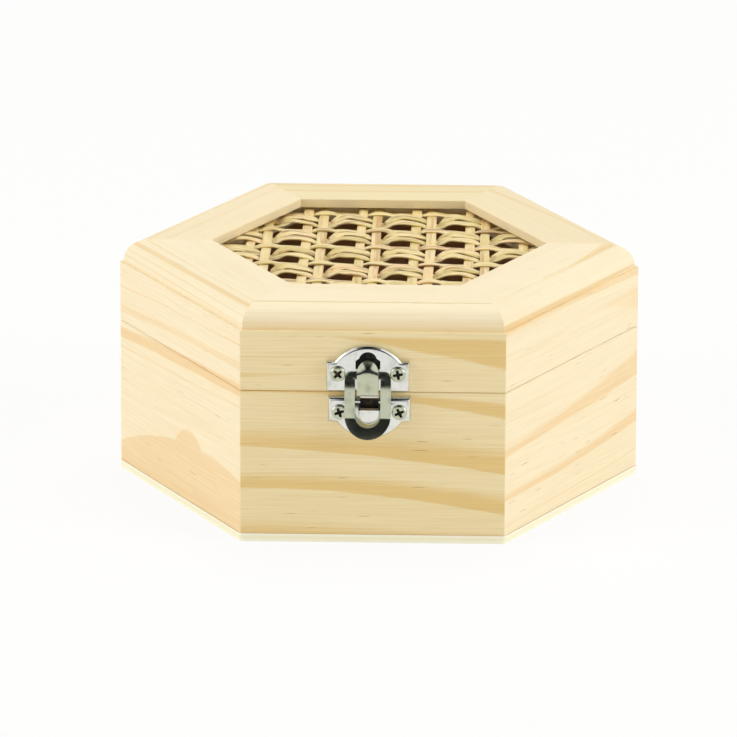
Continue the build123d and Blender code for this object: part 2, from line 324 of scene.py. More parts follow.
@dataclass(frozen=True)
class GrainNoise:
    """A noise drawn out along a board: how fast it changes along and across, per millimetre."""

    along: float
    across: float
    detail: float = 0.0
    roughness: float = 0.5

    def add(self, graph: Graph, along: Number, height: Number, depth: Number, seed: Number = 0.0) -> Socket:
        """Add the noise.

        Args:
            graph: the group that it goes into.
            along: distance along the board.
            height: distance across it.
            depth: distance into it, or a number that sets the noise apart from others.
            seed: shift along the board.

        Returns:
            The noise, from 0 to 1.
        """
        far = graph.math("MULTIPLY_ADD", along, self.along, seed)
        place = graph.point(far, graph.math("MULTIPLY", height, self.across), depth)
        return graph.noise(place, 1.0, self.detail, self.roughness)


SLOW_WAVE = GrainNoise(0.016, 0.035, 1.0)
RIPPLE = GrainNoise(0.072, 0.18, 2.0)
FINE_STREAK = GrainNoise(0.02, 1.5, 4.0, 0.62)
HAIR_STREAK = GrainNoise(0.07, 6.0, 2.0)
FLECK = GrainNoise(0.12, 3.2)
FLECK_CLUSTER = GrainNoise(0.03, 0.12)
TONE = GrainNoise(0.016, 0.11, 2.0)
PORE = GrainNoise(0.5, 7.0, 1.0)


def pine_figure_group() -> bpy.types.NodeTree:
    """Slow waves, fine streaks and short dark flecks that run along a board.

    Returns:
        The node group.
    """
    made = GroupGraph(
        "pine_figure",
        {"Along": 0.0, "Height": 0.0, "Depth": 0.0, "Seed": 0.0, "Waviness": 1.0, "Fleck Amount": 1.0},
        ("Figure Height", "Streaks", "Flecks", "Tone", "Pores"),
    )
    along, height, depth = (made.given[name] for name in ("Along", "Height", "Depth"))
    seed = made.math("MULTIPLY", made.given["Seed"], 37.7)
    wave = SLOW_WAVE.add(made, along, height, 0.0, seed)
    ripple = RIPPLE.add(made, along, height, 3.0, made.math("MULTIPLY", seed, 4.5))
    lift = made.math("MULTIPLY", made.math("SUBTRACT", wave, 0.5), 5.0)
    lift = made.math("MULTIPLY_ADD", made.math("SUBTRACT", ripple, 0.5), 1.4, lift)
    lift = made.math("MULTIPLY", lift, made.given["Waviness"])
    # the figure drifts as it goes into the wood, so that end and inner faces differ from the front
    figure = made.math("MULTIPLY_ADD", depth, 0.3, made.math("ADD", height, lift))
    fine = FINE_STREAK.add(made, along, figure, depth, seed)
    hair = HAIR_STREAK.add(made, along, figure, depth, seed)
    fleck = made.step(FLECK.add(made, along, figure, depth, seed), 0.75, 0.9)
    cluster = made.step(FLECK_CLUSTER.add(made, along, figure, 9.0, seed), 0.42, 0.6)
    return made.give(
        Figure_Height=figure,
        Streaks=made.math("MULTIPLY_ADD", hair, 0.4, made.math("MULTIPLY", fine, 0.6)),
        Flecks=made.math("MULTIPLY", fleck, made.math("MULTIPLY", cluster, made.given["Fleck Amount"])),
        Tone=TONE.add(made, along, figure, 5.0, seed),
        Pores=PORE.add(made, along, figure, depth),
    )


def pine_band_group() -> bpy.types.NodeTree:
    """One growth band: two edges, each a curve along the board, with their own softness.

    Returns:
        The node group.
    """
    made = GroupGraph(
        "pine_band",
        {
            "Along": 0.0, "Height": 0.0,
            "Lower": 0.0, "Lower Slope": 0.0, "Lower Bow": 0.0, "Lower Blur": 0.5,
            "Upper": 0.0, "Upper Slope": 0.0, "Upper Bow": 0.0, "Upper Blur": 0.5,
            "Strength": 1.0, "Before": 0.0,
        },
        ("Mask",),
    )
    given = made.given
    share = made.math("DIVIDE", given["Along"], HALF_SIDE)
    square = made.math("MULTIPLY", share, share)
    edges = []
    for word in ("Lower", "Upper"):
        edge = made.math("MULTIPLY_ADD", share, given[f"{word} Slope"], given[word])
        edges.append(made.math("MULTIPLY_ADD", square, given[f"{word} Bow"], edge))
    rise = made.step(given["Height"], edges[0], made.math("ADD", edges[0], given["Lower Blur"]))
    fall = made.step(given["Height"], edges[1], made.math("SUBTRACT", edges[1], given["Upper Blur"]))
    # an edge that has crossed its partner leaves no band
    room = made.math("SUBTRACT", edges[1], edges[0])
    body = made.math("MULTIPLY", made.math("MULTIPLY", rise, fall), made.step(room, 0.0, 0.8))
    mask = made.math("MULTIPLY", body, given["Strength"])
    return made.give(Mask=made.math("MAXIMUM", mask, given["Before"]))


def pine_shade_group() -> bpy.types.NodeTree:
    """Share of tan, shade, roughness and relief of pine, from its bands, streaks, flecks and tone.

    Returns:
        The node group.
    """
    made = GroupGraph(
        "pine_shade",
        {"Band": 0.0, "Streaks": 0.5, "Flecks": 0.0, "Tone": 0.5, "Streak Depth": 1.0},
        ("Band Share", "Shade", "Roughness", "Relief"),
    )
    given = made.given
    streak = made.math("MULTIPLY", made.math("SUBTRACT", given["Streaks"], 0.5), given["Streak Depth"])
    share = made.math("ADD", streak, given["Band"])
    share = made.math("MULTIPLY_ADD", made.math("SUBTRACT", given["Tone"], 0.5), 0.5, share)
    shade = made.math("SUBTRACT", 1.0, made.math("MULTIPLY", given["Flecks"], 0.12))
    return made.give(
        Band_Share=made.math("ADD", share, 0.08, clamp=True),
        Shade=made.math("MULTIPLY_ADD", streak, -0.16, shade),
        Roughness=made.math("MULTIPLY_ADD", given["Streaks"], 0.16, 0.5),
        Relief=made.math("MULTIPLY_ADD", given["Band"], 0.5, given["Streaks"]),
    )


def metal_marks_group() -> bpy.types.NodeTree:
    """Faint smears, fine rub lines and tiny pits on plated sheet metal.

    Returns:
        The node group.
    """
    made = GroupGraph("metal_marks", {"Scale": 1.0, "Wear": 1.0}, ("Roughness", "Relief", "Dullness"))
    place = made.node("ShaderNodeTexCoord").outputs["Object"]
    sized = made.node("ShaderNodeVectorMath", operation="SCALE")
    made.feed(sized.inputs[0], place)
    made.feed(sized.inputs["Scale"], made.given["Scale"])
    smear = made.noise(sized.outputs[0], 260.0, 3.0, 0.6)
    pits = made.noise(sized.outputs[0], 2600.0, 2.0, 0.7)
    stretched = made.node("ShaderNodeMapping")
    made.fill(stretched, Vector=sized.outputs[0], Scale=(350.0, 350.0, 5000.0))
    rub = made.noise(stretched.outputs[0], 1.0, 1.0)
    wear = made.given["Wear"]
    uneven = made.math("MULTIPLY_ADD", rub, 0.06, made.math("MULTIPLY", smear, 0.16))
    return made.give(
        Roughness=made.math("MULTIPLY_ADD", uneven, wear, 0.10),
        Relief=made.math("MULTIPLY_ADD", smear, 0.9, made.math("MULTIPLY", pits, 0.12)),
        Dullness=made.math("MULTIPLY", made.step(smear, 0.45, 0.75), wear),
    )


class Library:
    """The node groups of this object, each built once, when it is first asked for."""

    _makers: dict[str, Callable[[], bpy.types.NodeTree]] = {
        "board_place": board_place_group,
        "pine_figure": pine_figure_group,
        "pine_band": pine_band_group,
        "pine_shade": pine_shade_group,
        "metal_marks": metal_marks_group,
    }
    _made: dict[str, bpy.types.NodeTree] = {}

    @classmethod
    def get(cls, name: str) -> bpy.types.NodeTree:
        """Give a group by its name.

        Args:
            name: key of the group.

        Returns:
            The node group.
        """
        if name not in cls._made:
            cls._made[name] = cls._makers[name]()
        return cls._made[name]


def new_material(name: str) -> tuple[bpy.types.Material, Graph, bpy.types.Node]:
    """Make a material with one Principled shader.

    Args:
        name: name of the material.

    Returns:
        The material, its graph, and the shader node.
    """
    material = bpy.data.materials.new(name)
    material.use_nodes = True
    graph = Graph(material.node_tree)
    shader = next(node for node in material.node_tree.nodes if node.type == "BSDF_PRINCIPLED")
    return material, graph, shader


Colour = tuple[float, float, float, float]


def srgb(red: int, green: int, blue: int) -> Colour:
    """Turn a colour as it is seen, each part from 0 to 255, into Blender's linear one.

    Args:
        red: red.
        green: green.
        blue: blue.

    Returns:
        The colour with full alpha.
    """
    return tuple(
        (part / 255 / 12.92 if part / 255 <= 0.04045 else ((part / 255 + 0.055) / 1.055) ** 2.4)
        for part in (red, green, blue)
    ) + (1.0,)


# Finishes


@dataclass(frozen=True)
class GrowthBand:
    """A darker band of pine: the heights of its edges at the left end, the middle and the right end."""

    lower: tuple[float, float, float]
    upper: tuple[float, float, float]
    lower_blur: float = 0.8
    upper_blur: float = 3.0
    strength: float = 1.0

    def values(self) -> dict[str, float]:
        """Inputs of the band group for this band.

        Returns:
            The value of each input, by its name.
        """
        given: dict[str, float] = {"Lower_Blur": self.lower_blur, "Upper_Blur": self.upper_blur}
        for word, (left, middle, right) in (("Lower", self.lower), ("Upper", self.upper)):
            given[word] = middle
            given[f"{word}_Slope"] = (right - left) / 2
            given[f"{word}_Bow"] = (right + left) / 2 - middle
        given["Strength"] = self.strength
        return given


@dataclass(frozen=True)
class PineCut:
    """Sanded pine as it is cut for one side: its colours, its growth bands and its liveliness."""

    name: str
    turn: float
    pale: Colour
    tan: Colour
    fleck: Colour = srgb(188, 136, 80)
    # colour of the faces inside the box: painted shade of the closed box, darker than the raw pine
    inside: Colour = srgb(184, 132, 84)
    board: float = 8.0
    bands: tuple[GrowthBand, ...] = ()
    seed: float = 0.0
    flatness: float = 0.0
    waviness: float = 1.0
    fleck_amount: float = 1.0
    streak_depth: float = 1.0
    inside_share: float = 0.68
    pore_share: float = 0.25
    relief_depth: float = 0.05

    def material(self) -> bpy.types.Material:
        """Build the material of this cut.

        Returns:
            The new material.
        """
        material, graph, shader = new_material(self.name)
        board = Library.get("board_place")
        place = graph.use(board, Turn=math.radians(self.turn), Flatness=self.flatness).outputs
        figure = graph.use(
            Library.get("pine_figure"),
            Along=place["Along"], Height=place["Height"], Depth=place["Depth"], Seed=self.seed,
            Waviness=self.waviness, Fleck_Amount=self.fleck_amount,
        ).outputs
        mask: Number = 0.0
        for band in self.bands:
            mask = graph.use(
                Library.get("pine_band"),
                Along=place["Along"], Height=figure["Figure Height"], Before=mask, **band.values(),
            ).outputs["Mask"]
        shade = graph.use(
            Library.get("pine_shade"),
            Band=mask, Streaks=figure["Streaks"], Flecks=figure["Flecks"], Tone=figure["Tone"],
            Streak_Depth=self.streak_depth,
        ).outputs
        colour = graph.mix(shade["Band Share"], self.pale, self.tan)
        # faces inside the box take the darker inside colour: painted shade
        inner = graph.step(place["Depth"], self.board - 0.3, self.board - 0.05)
        colour = graph.mix(graph.math("MULTIPLY", inner, self.inside_share), colour, self.inside)
        colour = graph.mix(figure["Flecks"], colour, self.fleck)
        grey = graph.node("ShaderNodeCombineColor")
        for socket in grey.inputs[:3]:
            graph.feed(socket, shade["Shade"])
        colour = graph.mix(1.0, colour, grey.outputs[0], blend="MULTIPLY")
        relief = graph.math("MULTIPLY_ADD", figure["Pores"], self.pore_share, shade["Relief"])
        graph.fill(
            shader, Base_Color=colour, Roughness=shade["Roughness"], Specular_IOR_Level=0.28,
            Normal=graph.bump(relief, mm(self.relief_depth), 0.35),
        )
        return material


@dataclass(frozen=True)
class PlywoodSheet:
    """Thin pale plywood: faint figure on its faces and three plies at its edge."""

    name: str
    face: Colour
    core: Colour
    # colour of the face inside the box: painted shade of the closed box
    inside: Colour = srgb(184, 132, 84)
    thickness: float = 2.7
    inside_share: float = 0.55
    # rise and fall of the middle ply, as shares of the thickness
    core_start: tuple[float, float] = (0.30, 0.36)
    core_end: tuple[float, float] = (0.72, 0.66)

    def material(self) -> bpy.types.Material:
        """Build the plywood's material.

        Returns:
            The new material.
        """
        material, graph, shader = new_material(self.name)
        place = graph.use(Library.get("board_place")).outputs
        figure = graph.use(
            Library.get("pine_figure"),
            Along=place["Along"], Height=place["Depth"], Depth=place["Height"], Seed=4.0, Fleck_Amount=0.5,
        ).outputs
        ply = graph.math("DIVIDE", place["Height"], self.thickness)
        core = graph.math("MULTIPLY", graph.step(ply, *self.core_start), graph.step(ply, *self.core_end))
        streaks = graph.math("SUBTRACT", figure["Streaks"], 0.5)
        share = graph.math("MULTIPLY_ADD", streaks, 0.8, core, clamp=True)
        colour = graph.mix(share, self.face, self.core)
        # the upper face takes the darker inside colour: painted shade
        upper = graph.step(place["Height"], self.thickness - 0.1, self.thickness - 0.02)
        top = graph.math("MULTIPLY", upper, self.inside_share)
        graph.fill(
            shader, Base_Color=graph.mix(top, colour, self.inside), Specular_IOR_Level=0.25,
            Roughness=graph.math("MULTIPLY_ADD", figure["Streaks"], 0.15, 0.55),
            Normal=graph.bump(figure["Streaks"], mm(0.05), 0.3),
        )
        return material


class Run(Enum):
    """The way that a cane strip runs: stretches of its fibres, and of its tint, along X and Y."""

    SIDEWAYS = ((45.0, 1500.0, 1500.0), (22.0, 190.0, 0.0))
    LENGTHWAYS = ((1500.0, 45.0, 1500.0), (190.0, 22.0, 0.0))


@dataclass(frozen=True)
class CaneSkin:
    """Split cane: a smooth waxy skin with fine fibres, strips of their own tint, and brown spots."""

    name: str
    run: Run
    pale: Colour
    green: Colour
    tan: Colour
    brown: Colour
    seed: float = 0.0
    # where the slow tint turns from green and to tan, and where the brown spots start and are full
    green_range: tuple[float, float] = (0.36, 0.58)
    tan_range: tuple[float, float] = (0.52, 0.68)
    brown_range: tuple[float, float] = (0.5, 0.74)
    green_share: float = 0.9
    tan_share: float = 0.7
    brown_share: float = 0.75
    wax: float = 0.12

    def material(self) -> bpy.types.Material:
        """Build the cane's material.

        Returns:
            The new material.
        """
        material, graph, shader = new_material(self.name)
        place = graph.node("ShaderNodeTexCoord").outputs["Object"]
        stretched = []
        for scale in self.run.value:
            mapping = graph.node("ShaderNodeMapping")
            graph.fill(mapping, Vector=place, Scale=scale, Location=(self.seed, self.seed, 0.0))
            stretched.append(mapping.outputs[0])
        fibres = graph.noise(stretched[0], 1.0, 3.0, 0.6)
        tint = graph.noise(stretched[1], 1.0, 1.0)
        spots = graph.noise(stretched[0], 0.45, 1.0)
        fibre = graph.math("MULTIPLY", graph.math("SUBTRACT", fibres, 0.5), 1.7)
        greener = graph.math("ADD", fibre, graph.span(tint, self.green_range, (1.0, 0.1)), clamp=True)
        colour = graph.mix(graph.math("MULTIPLY", greener, self.green_share), self.pale, self.green)
        for value, limits, share, next_colour in (
            (tint, self.tan_range, self.tan_share, self.tan),
            (spots, self.brown_range, self.brown_share, self.brown),
        ):
            colour = graph.mix(graph.math("MULTIPLY", graph.step(value, *limits), share), colour, next_colour)
        graph.fill(
            shader, Base_Color=colour, Roughness=graph.span(fibres, (0.3, 0.7), (0.3, 0.5)),
            Coat_Roughness=0.3, Coat_Weight=self.wax, Specular_IOR_Level=0.45,
            Normal=graph.bump(fibres, mm(0.12), 0.5),
        )
        return material


@dataclass(frozen=True)
class NickelPlate:
    """Bright nickel on pressed steel, with smears, rub lines and small dents."""

    name: str
    tint: Colour = srgb(230, 232, 228)
    dull: Colour = srgb(207, 210, 202)
    wear: float = 1.0

    def material(self) -> bpy.types.Material:
        """Build the nickel's material.

        Returns:
            The new material.
        """
        material, graph, shader = new_material(self.name)
        marks = graph.use(Library.get("metal_marks"), Wear=self.wear).outputs
        graph.fill(
            shader, Base_Color=graph.mix(marks["Dullness"], self.tint, self.dull), Metallic=1.0,
            Roughness=marks["Roughness"], Normal=graph.bump(marks["Relief"], mm(0.05), 0.5),
        )
        return material


@dataclass(frozen=True)
class RecessShade:
    """Painted shade, flecked with dust, in the cuts of screws, in the latch's hollows and behind a slot."""

    name: str
    dark: Colour
    dust: Colour

    def material(self) -> bpy.types.Material:
        """Build the recess's material.

        Returns:
            The new material.
        """
        material, graph, shader = new_material(self.name)
        marks = graph.use(Library.get("metal_marks"), Scale=2.5, Wear=1.0).outputs
        dusty = graph.step(marks["Relief"], 0.5, 0.68)
        graph.fill(
            shader, Base_Color=graph.mix(dusty, self.dark, self.dust), Metallic=0.5,
            Roughness=graph.math("ADD", marks["Roughness"], 0.35),
            Normal=graph.bump(marks["Relief"], mm(0.1), 0.6),
        )
        return material


# Modelling


Piece = bpy.types.Object
MeshPart = bpy.types.MeshPolygon | bpy.types.MeshEdge
FaceTest = Callable[[bpy.types.MeshPolygon], bool]
EdgeTest = Callable[[Vector, Vector], bool]

# least share of a normal that points a way for the face to count as facing it
FACING = 0.9
# distance in metres under which two places are the same
SAME_PLACE = 1e-6


def lies_on(first: Vector, last: Vector, **levels: float) -> bool:
    """Tell whether an edge lies on given levels.

    Args:
        first: its first end.
        last: its other end.
        levels: the levels by axis, such as y=0.1, in metres.

    Returns:
        Whether both ends are on all of them.
    """
    return all(
        abs(getattr(end, axis) - level) < SAME_PLACE
        for end in (first, last) for axis, level in levels.items()
    )


def strip_section(width: float, thickness: float, crown: float) -> list[Vector]:
    """Section of a split cane strip: a flat underside with eased corners under a domed skin.

    Args:
        width: width of the strip.
        thickness: its thickness.
        crown: share of the thickness by which the skin is domed.

    Returns:
        The section's corners in order.
    """
    half, deep = width / 2, thickness / 2
    fall = thickness * crown
    under = [(half * 0.9, -deep), (half, -deep * 0.55)]
    skin = [(half, (deep - fall) * 0.6), (half * 0.86, deep - fall * 0.45), (half * 0.45, deep - fall * 0.1)]
    right = under + skin
    left = [(-x, y) for x, y in reversed(right)]
    return [Vector((x, y, 0.0)) for x, y in (*left[-2:], *right, (0.0, deep), *left[:-2])]


class Bench:
    """Calls to Blender's own tools on new pieces, sizes and places in millimetres."""

    @staticmethod
    def clear() -> None:
        """Leave edit mode and deselect everything."""
        if bpy.context.object is not None and bpy.context.object.mode != "OBJECT":
            bpy.ops.object.mode_set(mode="OBJECT")
        bpy.ops.object.select_all(action="DESELECT")

    @classmethod
    def take(cls, piece: Piece) -> None:
        """Select one piece alone and make it the active one.

        Args:
            piece: the piece.
        """
        cls.clear()
        piece.select_set(True)
        bpy.context.view_layer.objects.active = piece

    @classmethod
    def settle(cls, name: str) -> Piece:
        """Name the active piece and bring its object to the origin, unturned and unscaled.

        Args:
            name: its name.

        Returns:
            The piece.
        """
        piece = bpy.context.object
        piece.name = name
        piece.data.name = name
        cls.take(piece)
        bpy.ops.object.transform_apply(location=True, rotation=True, scale=True)
        return piece

    @classmethod
    def round_bar(
        cls, name: str, start: Sequence[float], end: Sequence[float], radius: float, vertices: int
    ) -> Piece:
        """Add a round bar between two points.

        Args:
            name: name of the piece.
            start: middle of one end.
            end: middle of the other end.
            radius: its radius.
            vertices: how many points go round it.

        Returns:
            The bar.
        """
        cls.clear()
        first, last = mm_vector(*start), mm_vector(*end)
        way = last - first
        bpy.ops.mesh.primitive_cylinder_add(
            vertices=vertices, radius=mm(radius), depth=way.length, location=(first + last) / 2,
            rotation=way.to_track_quat("Z", "Y").to_euler(),
        )
        return cls.settle(name)

    @classmethod
    def prism(cls, name: str, outline: Sequence[Sequence[float]], way: Sequence[float]) -> Piece:
        """Draw a flat outline and draw it out into a solid.

        Args:
            name: name of the piece.
            outline: corners of the outline in order.
            way: how far and which way it is drawn out.

        Returns:
            The solid, its faces outward.
        """
        cls.clear()
        bpy.ops.mesh.primitive_circle_add(vertices=len(outline), radius=1.0, fill_type="NGON")
        flat = cls.settle(name)
        for vertex, place in zip(flat.data.vertices, outline):
            vertex.co = mm_vector(*place)
        cls.select_all(flat)
        bpy.ops.mesh.extrude_region_move(TRANSFORM_OT_translate={"value": mm_vector(*way)})
        cls.outward(flat)
        return flat

    @classmethod
    def formed_sheet(cls, name: str, rows: Sequence[Sequence[Sequence[float]]], thickness: float) -> Piece:
        """Form a grid into a curved sheet and give it a thickness.

        Args:
            name: name of the piece.
            rows: points of the sheet's middle, row by row.
            thickness: its thickness.

        Returns:
            The sheet as a closed piece.
        """
        cls.clear()
        bpy.ops.mesh.primitive_grid_add(x_subdivisions=len(rows[0]) - 1, y_subdivisions=len(rows) - 1, size=1)
        sheet = cls.settle(name)
        points = [point for row in rows for point in row]
        if len(points) != len(sheet.data.vertices):
            raise ValueError(f"{name} has {len(sheet.data.vertices)} points in place of {len(points)}")
        for vertex, place in zip(sheet.data.vertices, points):
            vertex.co = mm_vector(*place)
        cls.apply(sheet, "SOLIDIFY", thickness=mm(thickness), offset=0.0)
        return sheet

    @classmethod
    def trim(cls, piece: Piece, place: Sequence[float], away: Sequence[float]) -> None:
        """Cut off what lies on one side of a plane and close the cut.

        Args:
            piece: the piece.
            place: a point on the plane.
            away: direction of the side that goes.
        """
        cls.select_all(piece)
        bpy.ops.mesh.bisect(
            plane_co=mm_vector(*place), plane_no=Vector(away), use_fill=True, clear_outer=True
        )
        bpy.ops.object.mode_set(mode="OBJECT")

    @classmethod
    def select_faces(cls, piece: Piece, test: FaceTest) -> None:
        """Go into edit mode with the faces that pass a test selected.

        Args:
            piece: the piece.
            test: takes a face and says whether it is meant.
        """
        cls.take(piece)
        cls.edit(piece.data, [face for face in piece.data.polygons if test(face)], (False, False, True))

    @classmethod
    def select_edges(cls, piece: Piece, test: EdgeTest) -> None:
        """Go into edit mode with the edges that pass a test selected.

        Args:
            piece: the piece.
            test: takes the two ends of an edge and says whether it is meant.
        """
        cls.take(piece)
        points = piece.data.vertices
        found = [edge for edge in piece.data.edges if test(*(points[index].co for index in edge.vertices))]
        cls.edit(piece.data, found, (False, True, False))

    @classmethod
    def select_all(cls, piece: Piece) -> None:
        """Go into edit mode with the whole piece selected."""
        cls.select_faces(piece, lambda face: True)

    @staticmethod
    def edit(mesh: bpy.types.Mesh, chosen: Sequence[MeshPart], mode: tuple[bool, bool, bool]) -> None:
        """Go into edit mode with some parts of the active piece's mesh selected.

        Args:
            mesh: the mesh.
            chosen: its faces or edges that are meant.
            mode: whether points, edges and faces can be selected.
        """
        for parts in (mesh.vertices, mesh.edges, mesh.polygons):
            parts.foreach_set("select", [False] * len(parts))
        for part in chosen:
            part.select = True
        bpy.context.tool_settings.mesh_select_mode = mode
        bpy.ops.object.mode_set(mode="EDIT")

    @classmethod
    def bevel_edges(cls, piece: Piece, test: EdgeTest, width: float, segments: int) -> None:
        """Round the edges that pass a test.

        Args:
            piece: the piece.
            test: takes the two ends of an edge and says whether it is meant.
            width: width of the round.
            segments: how many faces make it.
        """
        cls.select_edges(piece, test)
        bpy.ops.mesh.bevel(offset=mm(width), segments=segments, affect="EDGES", profile=0.5)
        bpy.ops.object.mode_set(mode="OBJECT")

    @classmethod
    def round_front(cls, piece: Piece, seat: "Seat", radius: float, steps: int) -> None:
        """Draw the foremost face of a piece out through a quarter round, by one inset after another.

        Args:
            piece: the piece.
            seat: the face of the box that it lies on.
            radius: radius of the round.
            steps: how many insets make it.
        """
        way = Vector(seat.way(1.0))
        front = max(vertex.co.dot(way) for vertex in piece.data.vertices)

        def is_front(face: bpy.types.MeshPolygon) -> bool:
            """Tell whether a face lies foremost and looks out."""
            return face.normal.dot(way) > FACING and abs(face.center.dot(way) - front) < SAME_PLACE

        cls.select_faces(piece, is_front)
        before = (0.0, 0.0)
        for number in range(1, steps + 1):
            turn = math.radians(90 * number / steps)
            now = (radius * (1 - math.cos(turn)), radius * math.sin(turn))
            inward, outward = (mm(new - old) for new, old in zip(now, before))
            bpy.ops.mesh.inset(thickness=inward, depth=outward, use_even_offset=True)
            before = now
        bpy.ops.object.mode_set(mode="OBJECT")

    @classmethod
    def shrink(cls, piece: Piece, seat: "Seat", width: float) -> None:
        """Draw the side walls of a prism inwards, so that it fits inside one with the same outline.

        Args:
            piece: the prism.
            seat: the face of the box that it lies on.
            width: how far the walls move.
        """
        away = Vector(seat.way(1.0))
        points = piece.data.vertices
        outline = next(face for face in piece.data.polygons if face.normal.dot(away) > FACING)
        corners = [points[index].co.copy() for index in outline.vertices]
        steps = []
        for number, here in enumerate(corners):
            first = (here - corners[number - 1]).normalized().cross(away)
            second = (corners[(number + 1) % len(corners)] - here).normalized().cross(away)
            middle = (first + second).normalized()
            # the step is held back at a sharp corner
            steps.append(-middle * mm(width) / max(0.3, middle.dot(first)))
        for point in points:
            apart = [(point.co - corner) - away * (point.co - corner).dot(away) for corner in corners]
            nearest = min(range(len(corners)), key=lambda index: apart[index].length)
            point.co = point.co + steps[nearest]

    @classmethod
    def dissolve(cls, piece: Piece, angle: float) -> None:
        """Merge faces that lie in one plane.

        Args:
            piece: the piece.
            angle: how far the faces may lean apart, in degrees.
        """
        cls.select_all(piece)
        bpy.ops.mesh.remove_doubles(threshold=mm(0.002))
        bpy.ops.mesh.dissolve_limited(angle_limit=math.radians(angle))
        bpy.ops.object.mode_set(mode="OBJECT")

    @classmethod
    def apply(cls, piece: Piece, kind: str, **settings: object) -> None:
        """Add a modifier to a piece and apply it.

        Args:
            piece: the piece.
            kind: Blender's name of the modifier.
            settings: properties of the modifier.
        """
        cls.take(piece)
        modifier = piece.modifiers.new(kind.lower(), kind)
        for key, value in settings.items():
            setattr(modifier, key, value)
        bpy.ops.object.modifier_apply(modifier=modifier.name)

    @classmethod
    def combine(cls, piece: Piece, tool: Piece, operation: str) -> Piece:
        """Join a piece with a tool, cut it by the tool, or keep what both hold.

        Args:
            piece: the piece that stays.
            tool: the other solid, which is used up.
            operation: UNION, DIFFERENCE or INTERSECT.

        Returns:
            The piece.
        """
        cls.apply(
            piece, "BOOLEAN", operation=operation, object=tool, solver="EXACT", material_mode="TRANSFER"
        )
        bpy.data.objects.remove(tool, do_unlink=True)
        return piece

    @classmethod
    def soften(cls, piece: Piece, width: float, segments: int, angle: float) -> None:
        """Round every edge that is sharper than an angle.

        Args:
            piece: the piece.
            width: width of the round.
            segments: how many faces make it.
            angle: the least angle between the faces, in degrees.
        """
        cls.apply(
            piece, "BEVEL", width=mm(width), segments=segments, limit_method="ANGLE",
            angle_limit=math.radians(angle), harden_normals=False, miter_outer="MITER_ARC",
        )

    @classmethod
    def smooth(cls, piece: Piece, angle: float) -> None:
        """Shade the edges of a piece smooth where its faces lean apart less than an angle in degrees."""
        cls.take(piece)
        bpy.ops.object.shade_smooth_by_angle(angle=math.radians(angle))

    @classmethod
    def outward(cls, piece: Piece) -> None:
        """Turn all faces of a closed piece outward.

        Args:
            piece: the piece.
        """
        cls.select_all(piece)
        bpy.ops.mesh.normals_make_consistent(inside=False)
        bpy.ops.object.mode_set(mode="OBJECT")

    @staticmethod
    def curve(dimensions: str, kind: str, points: Sequence[Vector]) -> Piece:
        """Add a curve with one line.

        Args:
            dimensions: 2D or 3D.
            kind: POLY or NURBS.
            points: the line's points, in metres.

        Returns:
            The curve, active.
        """
        Bench.clear()
        bpy.ops.curve.primitive_nurbs_path_add()
        made = bpy.context.object
        made.data.splines.clear()
        made.data.dimensions = dimensions
        line = made.data.splines.new(kind)
        line.points.add(len(points) - 1)
        for point, place in zip(line.points, points):
            point.co = (*place, 1.0)
        return made

    @classmethod
    def ribbon(
        cls, name: str, points: Sequence[Sequence[float]], width: float, thickness: float,
        tilts: Sequence[float], crown: float, order: int = 3, resolution: int = 6,
    ) -> Piece:
        """Run a flat strip along a smooth line.

        Args:
            name: name of the piece.
            points: control points of the line.
            width: width of the strip.
            thickness: thickness of the strip.
            tilts: turn of the strip about the line at each point, in degrees.
            crown: share of the thickness by which the upper face is domed.
            order: order of the line, 2 for straight runs.
            resolution: how finely the line is divided.

        Returns:
            The strip as a mesh.
        """
        profile = cls.curve("2D", "POLY", strip_section(mm(width), mm(thickness), crown))
        profile.data.splines[0].use_cyclic_u = True
        line = cls.curve("3D", "NURBS", [mm_vector(*place) for place in points])
        line.data.twist_mode = "Z_UP"
        run = line.data.splines[0]
        for point, tilt in zip(run.points, tilts):
            point.tilt = math.radians(tilt)
        run.order_u = order
        run.use_endpoint_u = True
        run.resolution_u = resolution
        line.data.bevel_mode = "OBJECT"
        line.data.bevel_object = profile
        line.data.use_fill_caps = True
        cls.take(line)
        bpy.ops.object.convert(target="MESH")
        strip = cls.settle(name)
        bpy.data.objects.remove(profile, do_unlink=True)
        cls.select_all(strip)
        bpy.ops.mesh.remove_doubles(threshold=mm(0.001))
        cls.outward(strip)
        return strip

    @staticmethod
    def copy(piece: Piece, name: str, change: Matrix) -> Piece:
        """Copy a piece with its own mesh.

        Args:
            piece: the piece.
            name: name of the copy.
            change: what carries the copy's points to their place.

        Returns:
            The copy.
        """
        made = piece.copy()
        made.data = piece.data.copy()
        made.name = name
        made.data.name = name
        made.data.transform(change)
        bpy.context.scene.collection.objects.link(made)
        return made

    @classmethod
    def join(cls, pieces: Sequence[Piece], name: str) -> Piece:
        """Join pieces into one object of separate shells.

        Args:
            pieces: the pieces, which are used up.
            name: name of the object.

        Returns:
            The object.
        """
        cls.clear()
        for piece in pieces:
            piece.select_set(True)
        bpy.context.view_layer.objects.active = pieces[0]
        bpy.ops.object.join()
        return cls.settle(name)


